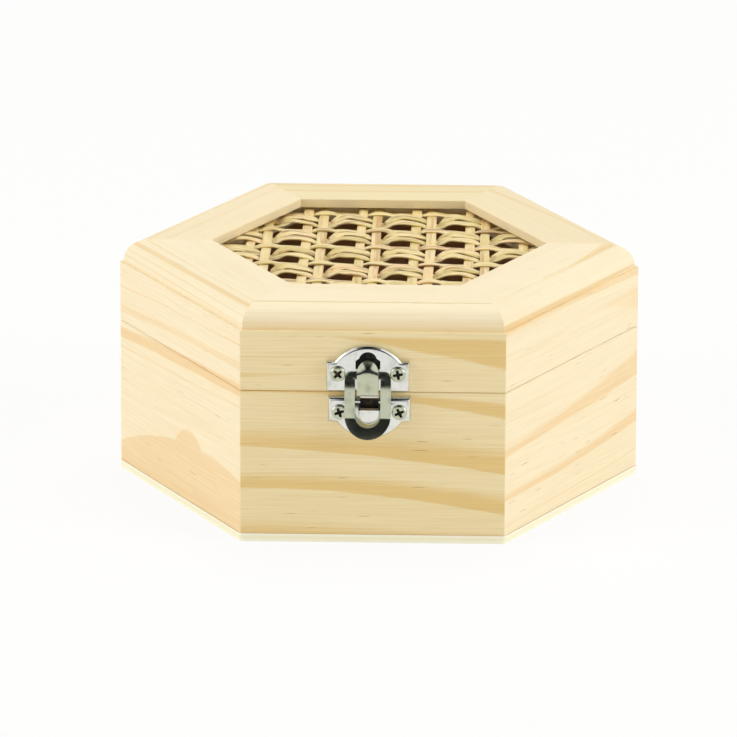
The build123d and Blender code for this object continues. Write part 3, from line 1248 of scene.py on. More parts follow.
@dataclass
class Assembly:
    """Something that is built from pieces, and what it has built so far."""

    made: list[str] = field(default_factory=list, init=False)

    def place(self, piece: Piece, body: Body, material: bpy.types.Material, slot: str, *nodes: str) -> Piece:
        """Dress a finished piece and let it ride on its body.

        Args:
            piece: the finished piece.
            body: the body that it rides on.
            material: its finish.
            slot: not used.
            nodes: nodes of the frame that it stands for.

        Returns:
            The piece.
        """
        if material.name not in piece.data.materials:
            piece.data.materials.clear()
            piece.data.materials.append(material)
        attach(piece, body.value)
        if nodes:
            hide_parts(*nodes)
        self.made.append(piece.name)
        log.info("%s rides on %s, %d faces", piece.name, body.value, len(piece.data.polygons))
        return piece

    def dress(self, node: str, material: bpy.types.Material) -> None:
        """Give a node of the frame its finish.

        Args:
            node: name of the node.
            material: the finish.
        """
        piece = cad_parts[node]
        piece.data.materials.clear()
        piece.data.materials.append(material)
        self.made.append(node)
        log.info("%s wears %s", node, material.name)


# Outlines


Outline = list[tuple[float, float]]


def arc(middle_x: float, middle_y: float, radius: float, start: float, end: float, steps: int) -> Outline:
    """Points along an arc.

    Args:
        middle_x: first part of its middle.
        middle_y: second part of its middle.
        radius: its radius.
        start: angle that it starts at, in degrees.
        end: angle that it ends at.
        steps: how many straight runs make it.

    Returns:
        The points, one more than the runs.
    """
    turns = [math.radians(start + (end - start) * number / steps) for number in range(steps + 1)]
    return [(middle_x + radius * math.cos(turn), middle_y + radius * math.sin(turn)) for turn in turns]


def rectangle(half: float, low: float, high: float) -> Outline:
    """Corners of a rectangle that is centred across."""
    return [(-half, low), (half, low), (half, high), (-half, high)]


def round_ended(half: float, straight: float, centre: float, steps: int) -> Outline:
    """Outline with a straight end above and a half round below, about a centre."""
    return [(half, straight), (-half, straight), *arc(0.0, centre, half, 180.0, 360.0, steps)]


def rounded_top(half: float, top: float, corner: float) -> Outline:
    """Upper end of an outline, from right to left, its two corners rounded."""
    right = arc(half - corner, top - corner, corner, 0.0, 90.0, 8)
    return right + arc(corner - half, top - corner, corner, 90.0, 180.0, 8)


def thicken(line: Sequence[tuple[float, float]], thickness: float) -> Outline:
    """Give a line in a plane a thickness.

    Args:
        line: the line.
        thickness: the thickness, half on each side.

    Returns:
        Outline of the strip.
    """
    left, right = [], []
    for number, (x, y) in enumerate(line):
        before = line[max(number - 1, 0)]
        after = line[min(number + 1, len(line) - 1)]
        way = Vector((after[0] - before[0], after[1] - before[1])).normalized() * thickness / 2
        left.append((x - way.y, y + way.x))
        right.append((x + way.y, y - way.x))
    return left + right[::-1]


# Wood


PALE_SIDE = srgb(250, 235, 200)
TAN_SIDE = srgb(244, 214, 164)
# the front's colours are darker and yellower than the sides': painted shade, since the front gets less light
PALE_FRONT = srgb(245, 227, 180)
TAN_FRONT = srgb(234, 203, 136)
PALE_RAIL = srgb(252, 238, 205)
TAN_RAIL = srgb(238, 209, 151)

WALL_CUTS: dict[Side, PineCut] = {
    Side.FRONT: PineCut(
        "pine_front", Side.FRONT.value, PALE_FRONT, TAN_FRONT, seed=1.0, waviness=0.45, streak_depth=1.7,
        bands=(
            GrowthBand((72.0, 66.5, 57.6), (70.5, 69.9, 69.0), 1.6, 1.5, 0.95),
            GrowthBand((61.8, 61.8, 61.0), (62.6, 62.6, 62.0), 0.3, 0.4, 0.35),
            GrowthBand((54.8, 56.0, 51.0), (57.2, 56.8, 51.6), 0.6, 1.2, 0.55),
            GrowthBand((49.6, 48.2, 41.6), (51.8, 51.2, 47.9), 1.0, 2.0, 1.0),
            GrowthBand((39.6, 39.0, 36.0), (40.3, 39.6, 36.4), 0.2, 0.3, 0.3),
            GrowthBand((31.8, 28.6, 23.2), (40.5, 39.0, 35.0), 0.7, 8.5, 1.0),
            GrowthBand((17.8, 15.6, 9.2), (25.0, 23.0, 17.6), 0.8, 5.0, 0.95),
            GrowthBand((-2.0, -3.0, -5.0), (9.0, 7.0, 4.0), 0.5, 5.5, 0.75),
        ),
    ),
    Side.FRONT_LEFT: PineCut(
        "pine_front_left", Side.FRONT_LEFT.value, PALE_SIDE, TAN_SIDE,
        seed=2.0, waviness=0.5, streak_depth=1.5, fleck_amount=0.8,
        bands=(
            GrowthBand((62.9, 64.6, 65.8), (64.0, 65.4, 66.9), 0.3, 0.7, 0.8),
            GrowthBand((53.0, 56.0, 56.5), (57.2, 59.6, 61.2), 1.4, 1.8, 0.55),
            GrowthBand((44.6, 46.6, 48.0), (49.2, 52.0, 53.6), 0.9, 1.6, 0.95),
            GrowthBand((41.6, 42.8, 44.4), (42.4, 43.6, 45.2), 0.2, 0.4, 0.5),
            GrowthBand((-4.0, -4.0, -4.0), (9.6, 22.0, 20.6), 0.5, 0.9, 0.72),
            GrowthBand((-4.0, -4.0, -4.0), (-121.0, 25.0, -50.6), 0.5, 0.8, 0.72),
            GrowthBand((3.0, 3.6, 5.4), (4.2, 5.6, 7.6), 0.3, 0.8, 1.0),
        ),
    ),
    Side.FRONT_RIGHT: PineCut(
        "pine_front_right", Side.FRONT_RIGHT.value, PALE_SIDE, TAN_SIDE,
        seed=3.0, waviness=0.45, streak_depth=1.35, fleck_amount=1.1,
        bands=(
            GrowthBand((69.0, 69.0, 68.0), (72.0, 72.0, 72.0), 0.8, 0.5, 0.7),
            GrowthBand((70.0, 66.0, 55.0), (60.0, 64.0, 66.0), 3.0, 3.0, 0.35),
            GrowthBand((28.0, 31.0, 33.2), (32.3, 36.4, 43.2), 0.8, 2.6, 0.75),
            GrowthBand((13.7, 14.8, 18.0), (17.4, 19.0, 23.4), 0.7, 2.4, 0.85),
            GrowthBand((5.2, 6.4, 8.6), (6.2, 7.4, 9.6), 0.3, 0.6, 0.5),
        ),
    ),
    Side.BACK: PineCut(
        "pine_back", Side.BACK.value, PALE_SIDE, TAN_SIDE, seed=5.0, waviness=0.6,
        bands=(
            GrowthBand((64.0, 60.0, 61.0), (69.0, 68.0, 67.0), 1.0, 4.0, 0.8),
            GrowthBand((47.0, 43.0, 44.0), (54.0, 52.0, 50.0), 0.8, 5.0, 0.9),
            GrowthBand((30.0, 25.0, 27.0), (38.0, 36.0, 34.0), 0.8, 6.0, 0.9),
            GrowthBand((13.0, 7.0, 9.0), (20.0, 18.0, 17.0), 0.7, 6.0, 0.8),
        ),
    ),
    Side.BACK_LEFT: PineCut(
        "pine_back_left", Side.BACK_LEFT.value, PALE_SIDE, TAN_SIDE, seed=6.0, waviness=0.7,
        bands=(
            GrowthBand((66.0, 62.0, 59.0), (67.5, 64.0, 61.5), 0.5, 1.5, 0.7),
            GrowthBand((40.0, 37.0, 36.0), (44.0, 43.0, 40.0), 0.8, 2.5, 0.85),
            GrowthBand((22.0, 19.0, 20.0), (30.0, 28.0, 25.0), 0.6, 5.0, 0.9),
            GrowthBand((6.0, 3.0, 2.0), (9.0, 7.0, 5.0), 0.6, 3.0, 0.7),
        ),
    ),
    Side.BACK_RIGHT: PineCut(
        "pine_back_right", Side.BACK_RIGHT.value, PALE_SIDE, TAN_SIDE, seed=7.0, waviness=0.7,
        bands=(
            GrowthBand((57.0, 60.0, 64.0), (63.0, 66.0, 69.0), 0.7, 4.0, 0.7),
            GrowthBand((33.0, 36.0, 42.0), (37.0, 42.0, 48.0), 0.8, 3.5, 0.9),
            GrowthBand((12.0, 16.0, 20.0), (20.0, 25.0, 28.0), 0.6, 5.5, 0.85),
        ),
    ),
}

# the back rails take darker pale colours: painted shade
RAIL_PALE: dict[Side, Colour] = dict.fromkeys(Side, PALE_RAIL) | {
    Side.BACK: srgb(244, 228, 186),
    Side.BACK_LEFT: srgb(250, 234, 197),
    Side.BACK_RIGHT: srgb(246, 230, 192),
}

RAIL_BANDS: dict[Side, tuple[GrowthBand, ...]] = {
    Side.FRONT: (
        GrowthBand((60.0, 60.0, 60.0), (79.6, 79.0, 79.8), 0.5, 6.0, 0.4),
        GrowthBand((73.0, 73.2, 73.0), (74.6, 74.4, 74.8), 0.3, 1.0, 0.5),
        GrowthBand((79.0, 79.4, 79.0), (80.2, 80.4, 80.0), 0.4, 0.7, 0.25),
    ),
    Side.FRONT_LEFT: (
        GrowthBand((81.2, 81.6, 82.4), (85.0, 85.6, 86.2), 1.2, 1.3, 0.62),
        GrowthBand((77.4, 77.6, 77.2), (78.2, 78.6, 78.0), 0.3, 0.4, 0.5),
        GrowthBand((74.6, 74.2, 73.6), (75.6, 75.2, 74.4), 0.3, 0.5, 0.5),
    ),
    Side.FRONT_RIGHT: (
        GrowthBand((72.0, 72.2, 73.0), (75.0, 74.8, 74.4), 0.4, 1.2, 0.7),
        GrowthBand((85.6, 86.5, 86.5), (85.0, 87.4, 94.0), 0.4, 1.4, 0.5),
    ),
    Side.BACK: (
        GrowthBand((90.0, 90.6, 90.2), (92.0, 93.2, 92.4), 0.5, 1.6, 0.8),
        GrowthBand((97.4, 98.6, 98.0), (101.0, 102.4, 101.4), 0.6, 2.2, 0.6),
    ),
    Side.BACK_LEFT: (
        GrowthBand((88.4, 88.0, 88.4), (90.4, 90.0, 90.2), 0.5, 1.2, 0.8),
        GrowthBand((95.0, 95.6, 95.2), (96.4, 97.0, 96.8), 0.4, 1.0, 0.4),
    ),
    Side.BACK_RIGHT: (
        GrowthBand((87.0, 90.0, 95.0), (90.0, 93.2, 99.4), 0.6, 2.4, 0.5),
        GrowthBand((99.4, 100.0, 102.6), (100.2, 101.0, 103.4), 0.3, 0.6, 0.35),
    ),
}


@dataclass
class Carcass(Assembly):
    """The box itself: base plate and six mitred walls, all sawn from boards that run on into the lid."""

    # near-white edge colours, paler than the plywood: painted light on the base's dim edge
    edge_face: Colour = srgb(255, 252, 228)
    edge_core: Colour = srgb(250, 246, 214)

    def build(self, pine: dict[Side, bpy.types.Material]) -> None:
        """Dress the base and the walls.

        Args:
            pine: finish of each side's boards.
        """
        self.dress("base_plate", PlywoodSheet("plywood", self.edge_face, self.edge_core).material())
        for side, material in pine.items():
            self.dress(f"box_wall_{side.word}", material)


@dataclass
class LidFrame(Assembly):
    """The lid's walls, its moulded top rails and the beads that hold the cane."""

    rail_apothem: float = APOTHEM - 1.2
    lip_thickness: float = 3.0
    round_radius: float = 6.6
    round_steps: int = 22
    step: float = 0.5
    arris: float = 0.28
    mitre: float = 30.0
    first_seed: float = 11.0
    # past any rail's depth, because no side of a rail takes the inside's painted shade
    rail_board: float = 90.0

    def rail(self) -> Piece:
        """Model the front rail: its section drawn out along the side, mitred, its arrises eased.

        Returns:
            The rail.
        """
        hub = self.rail_apothem - self.round_radius
        lip = LID_TOP - self.lip_thickness
        rebate = WINDOW_APOTHEM + REBATE_WIDTH
        middle = LID_TOP - self.step - self.round_radius
        section = [
            *arc(hub, middle, self.round_radius, 90.0, 0.0, self.round_steps),
            (self.rail_apothem, LID_WALL_TOP), (rebate, LID_WALL_TOP), (rebate, lip),
            (WINDOW_APOTHEM, lip), (WINDOW_APOTHEM, LID_TOP), (hub, LID_TOP),
        ]
        rail = Bench.prism("rail", [(-HALF_SIDE, -out, up) for out, up in section], (SIDE_LENGTH, 0.0, 0.0))
        corners = ((WINDOW_APOTHEM, LID_TOP), (WINDOW_APOTHEM, lip), (hub, LID_TOP))
        sharp = [(-mm(out), mm(up)) for out, up in corners]


        def is_sharp(first: Vector, last: Vector) -> bool:
            """Tell whether an edge is one of the long ones that sandpaper eased."""
            return any(lies_on(first, last, y=y, z=z) for y, z in sharp)

        Bench.bevel_edges(rail, is_sharp, self.arris, 3)
        for turn in (-1, 1):
            lean = math.radians(self.mitre)
            Bench.trim(rail, (0.0, 0.0, 0.0), (turn * math.cos(lean), math.sin(lean), 0.0))
        Bench.smooth(rail, 30.0)
        return rail

    def build(self, pine: dict[Side, bpy.types.Material]) -> None:
        """Dress the walls and beads, and lay the six rails.

        Args:
            pine: finish of each side's boards.
        """
        rail = self.rail()
        for side, material in pine.items():
            self.dress(f"lid_wall_{side.word}", material)
            wood = PineCut(
                f"pine_rail_{side.word}", side.value, RAIL_PALE[side], TAN_RAIL,
                board=self.rail_board, bands=RAIL_BANDS[side], seed=self.first_seed + side.value / 60,
                flatness=1.0, waviness=0.12, fleck_amount=0.5, streak_depth=0.7,
            ).material()
            turned = Bench.copy(rail, f"rail_{side.word}", Matrix.Rotation(math.radians(side.value), 4, "Z"))
            self.place(turned, Body.LID, wood, "pine", f"lid_rail_{side.word}")
            self.dress(f"cane_bead_{side.word}", wood)
        bpy.data.objects.remove(rail, do_unlink=True)


# Cane


class Weft(Enum):
    """The three strips of a row, and how each crosses one pair of warps.

    A point of a crossing is its warp, -1 for the left and 1 for the right, its distance past that warp,
    its height, its tilt in degrees, and its shift towards the back.
    """

    BACK = (
        (-1, -9.0, 0.05, 0.0, -0.5), (-1, -6.5, -0.15, 2.0, 0.0), (-1, -1.8, -0.3, 0.0, 0.0),
        (-1, 1.5, -0.5, 0.0, 0.0), (1, -1.7, 0.5, 2.0, 0.0), (1, 1.7, 0.5, 2.0, 0.0),
        (1, 4.6, -0.1, 0.0, 0.0),
    )
    ARCH = (
        (-1, -10.9, -1.7, 8.0, -1.5), (-1, -9.7, -1.0, 14.0, -1.1), (-1, -8.1, 0.3, 18.0, -0.4),
        (-1, -6.2, 1.4, 14.0, 0.1), (-1, -4.0, 1.5, 8.0, 0.2), (-1, -1.7, 1.0, 4.0, 0.1),
        (-1, 1.6, 0.5, 2.0, -0.2), (1, -2.0, -0.1, 0.0, -0.4), (1, -0.6, -0.6, 0.0, -0.2),
    )
    FRONT = (
        (-1, -11.5, -1.4, 0.0, 1.5), (-1, -10.0, -1.1, 2.0, 1.5), (-1, -8.2, -0.2, 4.0, 1.7),
        (-1, -6.0, 0.8, 4.0, 1.3), (-1, -3.8, 1.0, 2.0, 0.6), (-1, -1.6, 0.9, 0.0, 0.0),
        (-1, 1.4, 0.5, 0.0, -0.6), (1, -2.0, -0.25, 0.0, -1.2), (1, -0.4, -0.75, 0.0, -0.8),
    )


@dataclass
class CanePanel(Assembly):
    """Woven cane: warps in pairs, and three wefts to a row, the middle one a tall twisted arch."""

    middle_height: float = 74.25
    panel_apothem: float = WINDOW_APOTHEM + REBATE_WIDTH - 0.4
    shortest: float = 8.0
    thickness: float = 0.9
    warp_thinness: float = 0.8
    weft_thinness: float = 0.78
    warp_width: float = 3.1
    pair_spacing: float = 5.1
    warp_pitch: float = 17.95
    warp_offset: float = -3.9
    warp_rise: float = 0.42
    warp_margin: float = 3.0
    weft_width: float = 3.0
    arch_width: float = 3.8
    weft_pitch: float = 18.8
    arch_offset: float = 0.2
    back_spacing: float = 6.9
    front_spacing: float = 5.1
    weft_margin: float = 0.5
    weft_drop: float = 0.2
    warp_crown: float = 0.22
    weft_crown: float = 0.25
    # wefts this near the window's edge lie flat and keep under this height, to pass into the rebate
    flat_margin: float = 4.5
    flat_height: float = 0.95
    # unevenness by chance: sway, rise and tilt to either side, and shares of a width or an arch's height
    warp_sway: float = 0.25
    sway_length: float = 11.0
    warp_play: float = 0.05
    warp_tilt: float = 5.0
    width_share: tuple[float, float] = (0.94, 1.06)
    weft_sway: float = 0.4
    weft_play: float = 0.12
    weft_tilt: float = 8.0
    arch_share: tuple[float, float] = (0.86, 1.12)

    def pairs(self) -> list[float]:
        """Middles of the warp pairs from left to right."""
        count = int(SIDE_LENGTH / self.warp_pitch) + 1
        return [self.warp_offset + self.warp_pitch * number for number in range(-count, count + 1)]

    def rows(self) -> list[float]:
        """Places of the arches from front to back."""
        count = int(SIDE_LENGTH / self.weft_pitch) + 1
        return [self.arch_offset + self.weft_pitch * number for number in range(-count, count + 1)]

    def warp(self, across: float, is_left: bool, chance: random.Random) -> Piece | None:
        """Make one front-to-back strip.

        Args:
            across: its place along X.
            is_left: whether it is the left one of its pair.
            chance: source of its small unevenness.

        Returns:
            The strip, or nothing where it only touches the panel's corner.
        """
        reach = 2 * self.panel_apothem / math.sqrt(3) - abs(across) - self.warp_width / 2
        half = min(self.panel_apothem, math.sqrt(3) * reach)
        if 2 * half < self.shortest:
            return None
        rise = self.warp_rise if is_left else -self.warp_rise
        places = [(-half, 0.0)]
        for row in self.rows():
            for along, height in (
                (row - self.front_spacing - 1.2, -rise), (row + 1.2, -rise),
                (row + self.back_spacing - 1.4, rise), (row + self.back_spacing + 1.4, rise),
            ):
                if abs(along) < half - self.warp_margin:
                    places.append((along, height))
        places.append((half, 0.0))
        drift = chance.uniform(-self.warp_sway, self.warp_sway)
        points = [
            (
                across + drift * math.sin(along / self.sway_length + across), along,
                self.middle_height + height + chance.uniform(-self.warp_play, self.warp_play),
            )
            for along, height in places
        ]
        tilts = [chance.uniform(-self.warp_tilt, self.warp_tilt) for _ in points]
        width = self.warp_width * chance.uniform(*self.width_share)
        thickness = self.thickness * self.warp_thinness
        return Bench.ribbon("warp", points, width, thickness, tilts, self.warp_crown)

    def weft(self, distance: float, width: float, kind: Weft, chance: random.Random) -> Piece | None:
        """Make one left-to-right strip.

        Args:
            distance: its place along Y.
            width: width of the strip.
            kind: which strip of the row it is.
            chance: source of its small unevenness.

        Returns:
            The strip, or nothing where it misses the panel.
        """
        edge = abs(distance) + width / 2
        half = (2 * self.panel_apothem - edge) / math.sqrt(3)
        if edge > self.panel_apothem or half < self.shortest / 2:
            return None
        window = WINDOW_SIDE - edge / math.sqrt(3)
        end_height = self.middle_height - self.weft_drop
        points, tilts = [(-half, distance, end_height)], [0.0]
        for pair in self.pairs():
            arch = chance.uniform(*self.arch_share)
            for side, past, height, tilt, shift in kind.value:
                x = pair + side * self.pair_spacing / 2 + past
                if abs(x) > half - self.weft_margin:
                    continue
                rise = height * arch if height > self.flat_height else height
                if abs(x) > window - self.flat_margin:
                    rise = max(-self.flat_height, min(self.flat_height, rise))
                    tilt = shift = 0.0
                y = distance + shift + chance.uniform(-self.weft_sway, self.weft_sway)
                lift = rise + chance.uniform(-self.weft_play, self.weft_play)
                points.append((x, y, self.middle_height + lift))
                tilts.append(tilt + chance.uniform(-self.weft_tilt, self.weft_tilt))
        points.append((half, distance, end_height))
        tilts.append(0.0)
        thickness = self.thickness * self.weft_thinness
        return Bench.ribbon("weft", points, width, thickness, tilts, self.weft_crown, order=4, resolution=5)

    def build(self, lengthways: bpy.types.Material, sideways: bpy.types.Material) -> None:
        """Weave the panel.

        Args:
            lengthways: finish of the warps.
            sideways: finish of the wefts.
        """
        chance = random.Random(7)
        warps = [
            self.warp(pair + turn * self.pair_spacing / 2, turn < 0, chance)
            for pair in self.pairs() for turn in (-1, 1)
        ]
        wefts = [
            self.weft(row + distance, width, kind, chance)
            for row in self.rows()
            for distance, width, kind in (
                (self.back_spacing, self.weft_width, Weft.BACK),
                (0.0, self.arch_width, Weft.ARCH),
                (-self.front_spacing, self.weft_width, Weft.FRONT),
            )
        ]
        for strips, name, material, node in (
            (warps, "woven_warps", lengthways, "cane_warp"), (wefts, "woven_wefts", sideways, "cane_weft"),
        ):
            panel = Bench.join([strip for strip in strips if strip is not None], name)
            Bench.smooth(panel, 50.0)
            self.place(panel, Body.LID, material, "cane", node)


# Hardware


# how far a cutter reaches past the face that it cuts
BITE = 0.5
# width of the round that takes the sharpness off cut metal
EASED = 0.22


@dataclass(frozen=True)
class Seat:
    """A place on the front or back face at the seam: across, out of the wood, and up."""

    middle: float
    faces_back: bool = False

    def at(self, across: float, out: float, up: float) -> tuple[float, float, float]:
        """Give a point's place in the row frame."""
        side = 1.0 if self.faces_back else -1.0
        return (self.middle - side * across, side * (APOTHEM + out), SEAM_HEIGHT + up)

    def sheet(self, outline: Outline, out: float) -> list[tuple[float, float, float]]:
        """Carry a front-view outline to its place."""
        return [self.at(across, out, up) for across, up in outline]

    def side_view(self, outline: Outline, across: float) -> list[tuple[float, float, float]]:
        """Carry a side-view outline to its place."""
        return [self.at(across, out, up) for out, up in outline]

    def way(self, out: float) -> tuple[float, float, float]:
        """Direction and distance out of the wood."""
        return (0.0, out if self.faces_back else -out, 0.0)

    def span(self, across: float) -> tuple[float, float, float]:
        """Direction and distance across."""
        return (-across if self.faces_back else across, 0.0, 0.0)


@dataclass(frozen=True)
class PanScrew:
    """A pan head with a rounded rim and a cross recess."""

    radius: float
    height: float
    rim: float
    cross_length: float
    cross_width: float
    cross_depth: float

    def build(
        self, name: str, seat: Seat, place: tuple[float, float, float], turn: float,
        metal: bpy.types.Material, recess_shade: bpy.types.Material,
    ) -> Piece:
        """Model one head.

        Args:
            name: name of the piece.
            seat: the face that it stands on.
            place: where its underside's middle is: across the seat, out of the wood, and up from the seam.
            turn: turn of its cross in degrees.
            metal: finish of the head.
            recess_shade: painted shade inside the cross.

        Returns:
            The head.
        """
        across, stand, up = place
        top = stand + self.height
        head = Bench.round_bar(name, seat.at(*place), seat.at(across, top, up), self.radius, 56)
        front = mm(seat.at(across, top, up)[1])
        Bench.bevel_edges(head, lambda first, last: lies_on(first, last, y=front), self.rim, 6)
        head.data.materials.append(metal)
        arm, half = self.cross_length / 2, self.cross_width / 2
        outline = []
        for number in range(4):
            angle = math.radians(turn + 90 * number)
            cosine, sine = math.cos(angle), math.sin(angle)
            for x, y in ((half, half), (half * 0.8, arm), (-half * 0.8, arm)):
                outline.append((across + x * cosine - y * sine, up + x * sine + y * cosine))
        cutter = Bench.prism("cross", seat.sheet(outline, top - self.cross_depth), seat.way(2.0))
        # the cross's walls take painted shade
        cutter.data.materials.append(recess_shade)
        Bench.combine(head, cutter, "DIFFERENCE")
        Bench.smooth(head, 35.0)
        return head


@dataclass(frozen=True)
class PressedPlate:
    """A pressed plate: an outline with an arch, its edge turned down all round, open to the wood.

    Heights count from the seam.
    """

    straight: float
    shoulder: float
    crown: float
    rim: float
    half_width: float = 13.3
    half_chord: float = 10.6
    stand: float = 2.0
    sheet: float = 0.7

    def build(self, name: str, seat: Seat) -> Piece:
        """Press the plate.

        Args:
            name: name of the piece.
            seat: the face that it lies on.

        Returns:
            The plate.
        """
        sign = 1.0 if self.crown > self.shoulder else -1.0
        rise = abs(self.crown - self.shoulder)
        radius = (self.half_chord**2 + rise**2) / (2 * rise)
        lean = math.degrees(math.asin(self.half_chord / radius))
        outline = [
            (-self.half_width, self.shoulder), (-self.half_width, self.straight),
            (self.half_width, self.straight), (self.half_width, self.shoulder),
            *arc(0.0, self.crown - sign * radius, radius, sign * (90 - lean), sign * (90 + lean), 40),
        ]
        plate = Bench.prism(name, seat.sheet(outline, 0.0), seat.way(self.stand - self.rim))
        Bench.round_front(plate, seat, self.rim, 7)
        hollow = Bench.prism("hollow", seat.sheet(outline, -BITE), seat.way(BITE + self.stand - self.sheet))
        Bench.shrink(hollow, seat, self.sheet)
        return Bench.combine(plate, hollow, "DIFFERENCE")


@dataclass(frozen=True)
class Tongue:
    """The tongue: folded under the plate's lower edge, up its front, its round tip domed back in."""

    half_width: float = 3.4
    sheet: float = 0.7
    root: tuple[float, float] = (1.9, 1.2)
    fold_height: float = 0.6
    fold_radius: float = 0.85
    straight: float = 5.8
    lean: float = 2.0
    tip_height: float = 11.15
    tip_stand: float = 1.2
    taper_start: float = 7.2
    dome_start: float = 6.6
    dome_length: float = 3.0
    dome_share: float = 0.33

    def line(self, plate_stand: float) -> Outline:
        """Draw the middle of the sheet from the side.

        Args:
            plate_stand: how far out the plate's front is.

        Returns:
            Its points, out of the wood and up, from the root to the tip.
        """
        root = plate_stand - self.sheet / 2
        outer = root + 2 * self.fold_radius
        made = [(root, up) for up in self.root]
        made += arc(root + self.fold_radius, self.fold_height, self.fold_radius, 180.0, 360.0, 18)
        for share in (0.1, 0.3, 0.5, 0.7, 0.9, 1.0):
            made.append((outer + self.lean * share, self.fold_height + self.straight * share))
        # the tip's arc goes on from the straight run without a kink
        knee, tip = Vector(made[-1]), Vector((self.tip_stand, self.tip_height))
        side = Vector((-self.straight, self.lean)).normalized()
        chord = tip - knee
        radius = chord.length_squared / (2 * chord.dot(side))
        hub = knee + side * radius
        turns = [math.degrees(math.atan2(place.y - hub.y, place.x - hub.x)) for place in (knee, tip)]
        return made + arc(hub.x, hub.y, radius, *turns, 40)[1:]

    def build(self, seat: Seat, plate_stand: float) -> Piece:
        """Bend the tongue.

        Args:
            seat: the face that its plate lies on.
            plate_stand: how far out the plate's front is.

        Returns:
            The tongue.
        """
        shares = [math.sin(math.radians(10 * number)) for number in range(-9, 10)]
        rows = []
        for out, up in self.line(plate_stand):
            taper = max(0.0, (up - self.taper_start) / (self.tip_height - self.taper_start))
            half = self.half_width * math.sqrt(max(0.002, 1 - taper**2.2))
            dome = min(1.0, max(0.0, (up - self.dome_start) / self.dome_length)) ** 1.5
            crown = half * self.dome_share * dome
            rows.append([seat.at(half * share, out - crown * share * share, up) for share in shares])
        strip = Bench.formed_sheet("tongue", rows, self.sheet)
        Bench.soften(strip, EASED, 3, 60.0)
        Bench.outward(strip)
        Bench.smooth(strip, 45.0)
        return strip


@dataclass(frozen=True)
class Hasp:
    """The hasp: a flat loop, bent back at the top, with a lip bent out at its round end."""

    sheet: float = 0.9
    stand: float = 3.9
    half_width: float = 7.4
    top: float = 7.15
    corner: float = 2.1
    round_centre: float = -6.6
    hole_half_width: float = 4.1
    hole_top: float = 5.3
    hole_centre: float = -6.4
    bend_start: float = 1.2
    bend_radius: float = 10.0
    bend_angle: float = 15.0
    top_length: float = 3.6
    lip_start: float = -7.2
    lip_radius: float = 2.5
    lip_angle: float = 20.0
    lip_length: float = 7.4

    def line(self) -> Outline:
        """Draw the middle of the sheet from the side.

        Returns:
            Its points from the top down.
        """
        stand = self.stand
        bend, lip = math.radians(self.bend_angle), math.radians(self.lip_angle)
        back = arc(stand - self.bend_radius, self.bend_start, self.bend_radius, self.bend_angle, 0.0, 16)
        front = arc(stand + self.lip_radius, self.lip_start, self.lip_radius, 180.0, 180 + self.lip_angle, 8)
        (top_out, top_up), (low_out, low_up) = back[0], front[-1]
        first = (top_out - self.top_length * math.sin(bend), top_up + self.top_length * math.cos(bend))
        last = (low_out + self.lip_length * math.sin(lip), low_up - self.lip_length * math.cos(lip))
        return [first, *back, *front, last]

    def build(self, seat: Seat) -> Piece:
        """Cut and bend the hasp.

        Args:
            seat: the face that it hangs before.

        Returns:
            The hasp.
        """
        half = self.half_width
        side = seat.side_view(thicken(self.line(), self.sheet), -half)
        strip = Bench.prism("hasp_loop", side, seat.span(2 * half))
        outline = rounded_top(half, self.top, self.corner)
        outline += arc(0.0, self.round_centre, half, 180.0, 360.0, 48)
        form = Bench.prism("form", seat.sheet(outline, 0.0), seat.way(9.0))
        Bench.combine(strip, form, "INTERSECT")
        hole = round_ended(self.hole_half_width, self.hole_top, self.hole_centre, 36)
        cutter = Bench.prism("hole", seat.sheet(hole, -BITE), seat.way(10.0))
        Bench.combine(strip, cutter, "DIFFERENCE")
        Bench.dissolve(strip, 0.4)
        Bench.soften(strip, EASED, 3, 50.0)
        Bench.smooth(strip, 40.0)
        return strip


@dataclass(frozen=True)
class Lug:
    """The lug pressed out of the lower plate: half round below, open above, with a wing up each side."""

    half_width: float = 3.45
    foot: float = 1.4
    stand: float = 3.15
    top: float = -5.2
    centre: float = -6.6
    rounding: float = 0.55
    side_sheet: float = 0.5
    front_sheet: float = 0.6
    wing_top: float = -3.4
    wing_stand: float = 2.0
    mouth_top: float = -1.0
    floor_stand: float = 0.02
    overlap: float = 0.05
    pocket_top: float = -5.0

    def raise_on(self, plate: Piece, seat: Seat, recess_shade: bpy.types.Material) -> Piece:
        """Raise the lug on its plate and hollow it.

        Args:
            plate: the plate.
            seat: the face that the plate lies on.
            recess_shade: painted shade inside the lug.

        Returns:
            The plate with its lug.
        """
        half, inner = self.half_width, self.half_width - self.side_sheet
        outline = round_ended(half, self.top, self.centre, 28)
        lug = Bench.prism("lug", seat.sheet(outline, self.foot), seat.way(self.stand - self.foot))
        front, mouth = -mm(APOTHEM + self.stand), mm(SEAM_HEIGHT + self.top)

        def is_rim(first: Vector, last: Vector) -> bool:
            """Tell whether an edge goes round the lug's front, but not along its mouth."""
            return lies_on(first, last, y=front) and not lies_on(first, last, z=mouth)

        Bench.bevel_edges(lug, is_rim, self.rounding, 5)
        low = self.top - self.overlap
        wedge = [
            (self.foot, low), (self.foot, self.wing_top), (self.wing_stand, self.wing_top), (self.stand, low),
        ]
        Bench.combine(lug, Bench.prism("wings", seat.side_view(wedge, -half), seat.span(2 * half)), "UNION")
        Bench.combine(plate, lug, "UNION")
        opening = seat.sheet(rectangle(inner, self.top, self.mouth_top), self.floor_stand)
        Bench.combine(plate, Bench.prism("mouth", opening, seat.way(6.0)), "DIFFERENCE")
        hollow = seat.sheet(round_ended(inner, self.pocket_top, self.centre, 20), self.floor_stand)
        pocket = Bench.prism("pocket", hollow, seat.way(self.stand - self.front_sheet))
        # the hollow's walls take painted shade
        pocket.data.materials.append(recess_shade)
        return Bench.combine(plate, pocket, "DIFFERENCE")


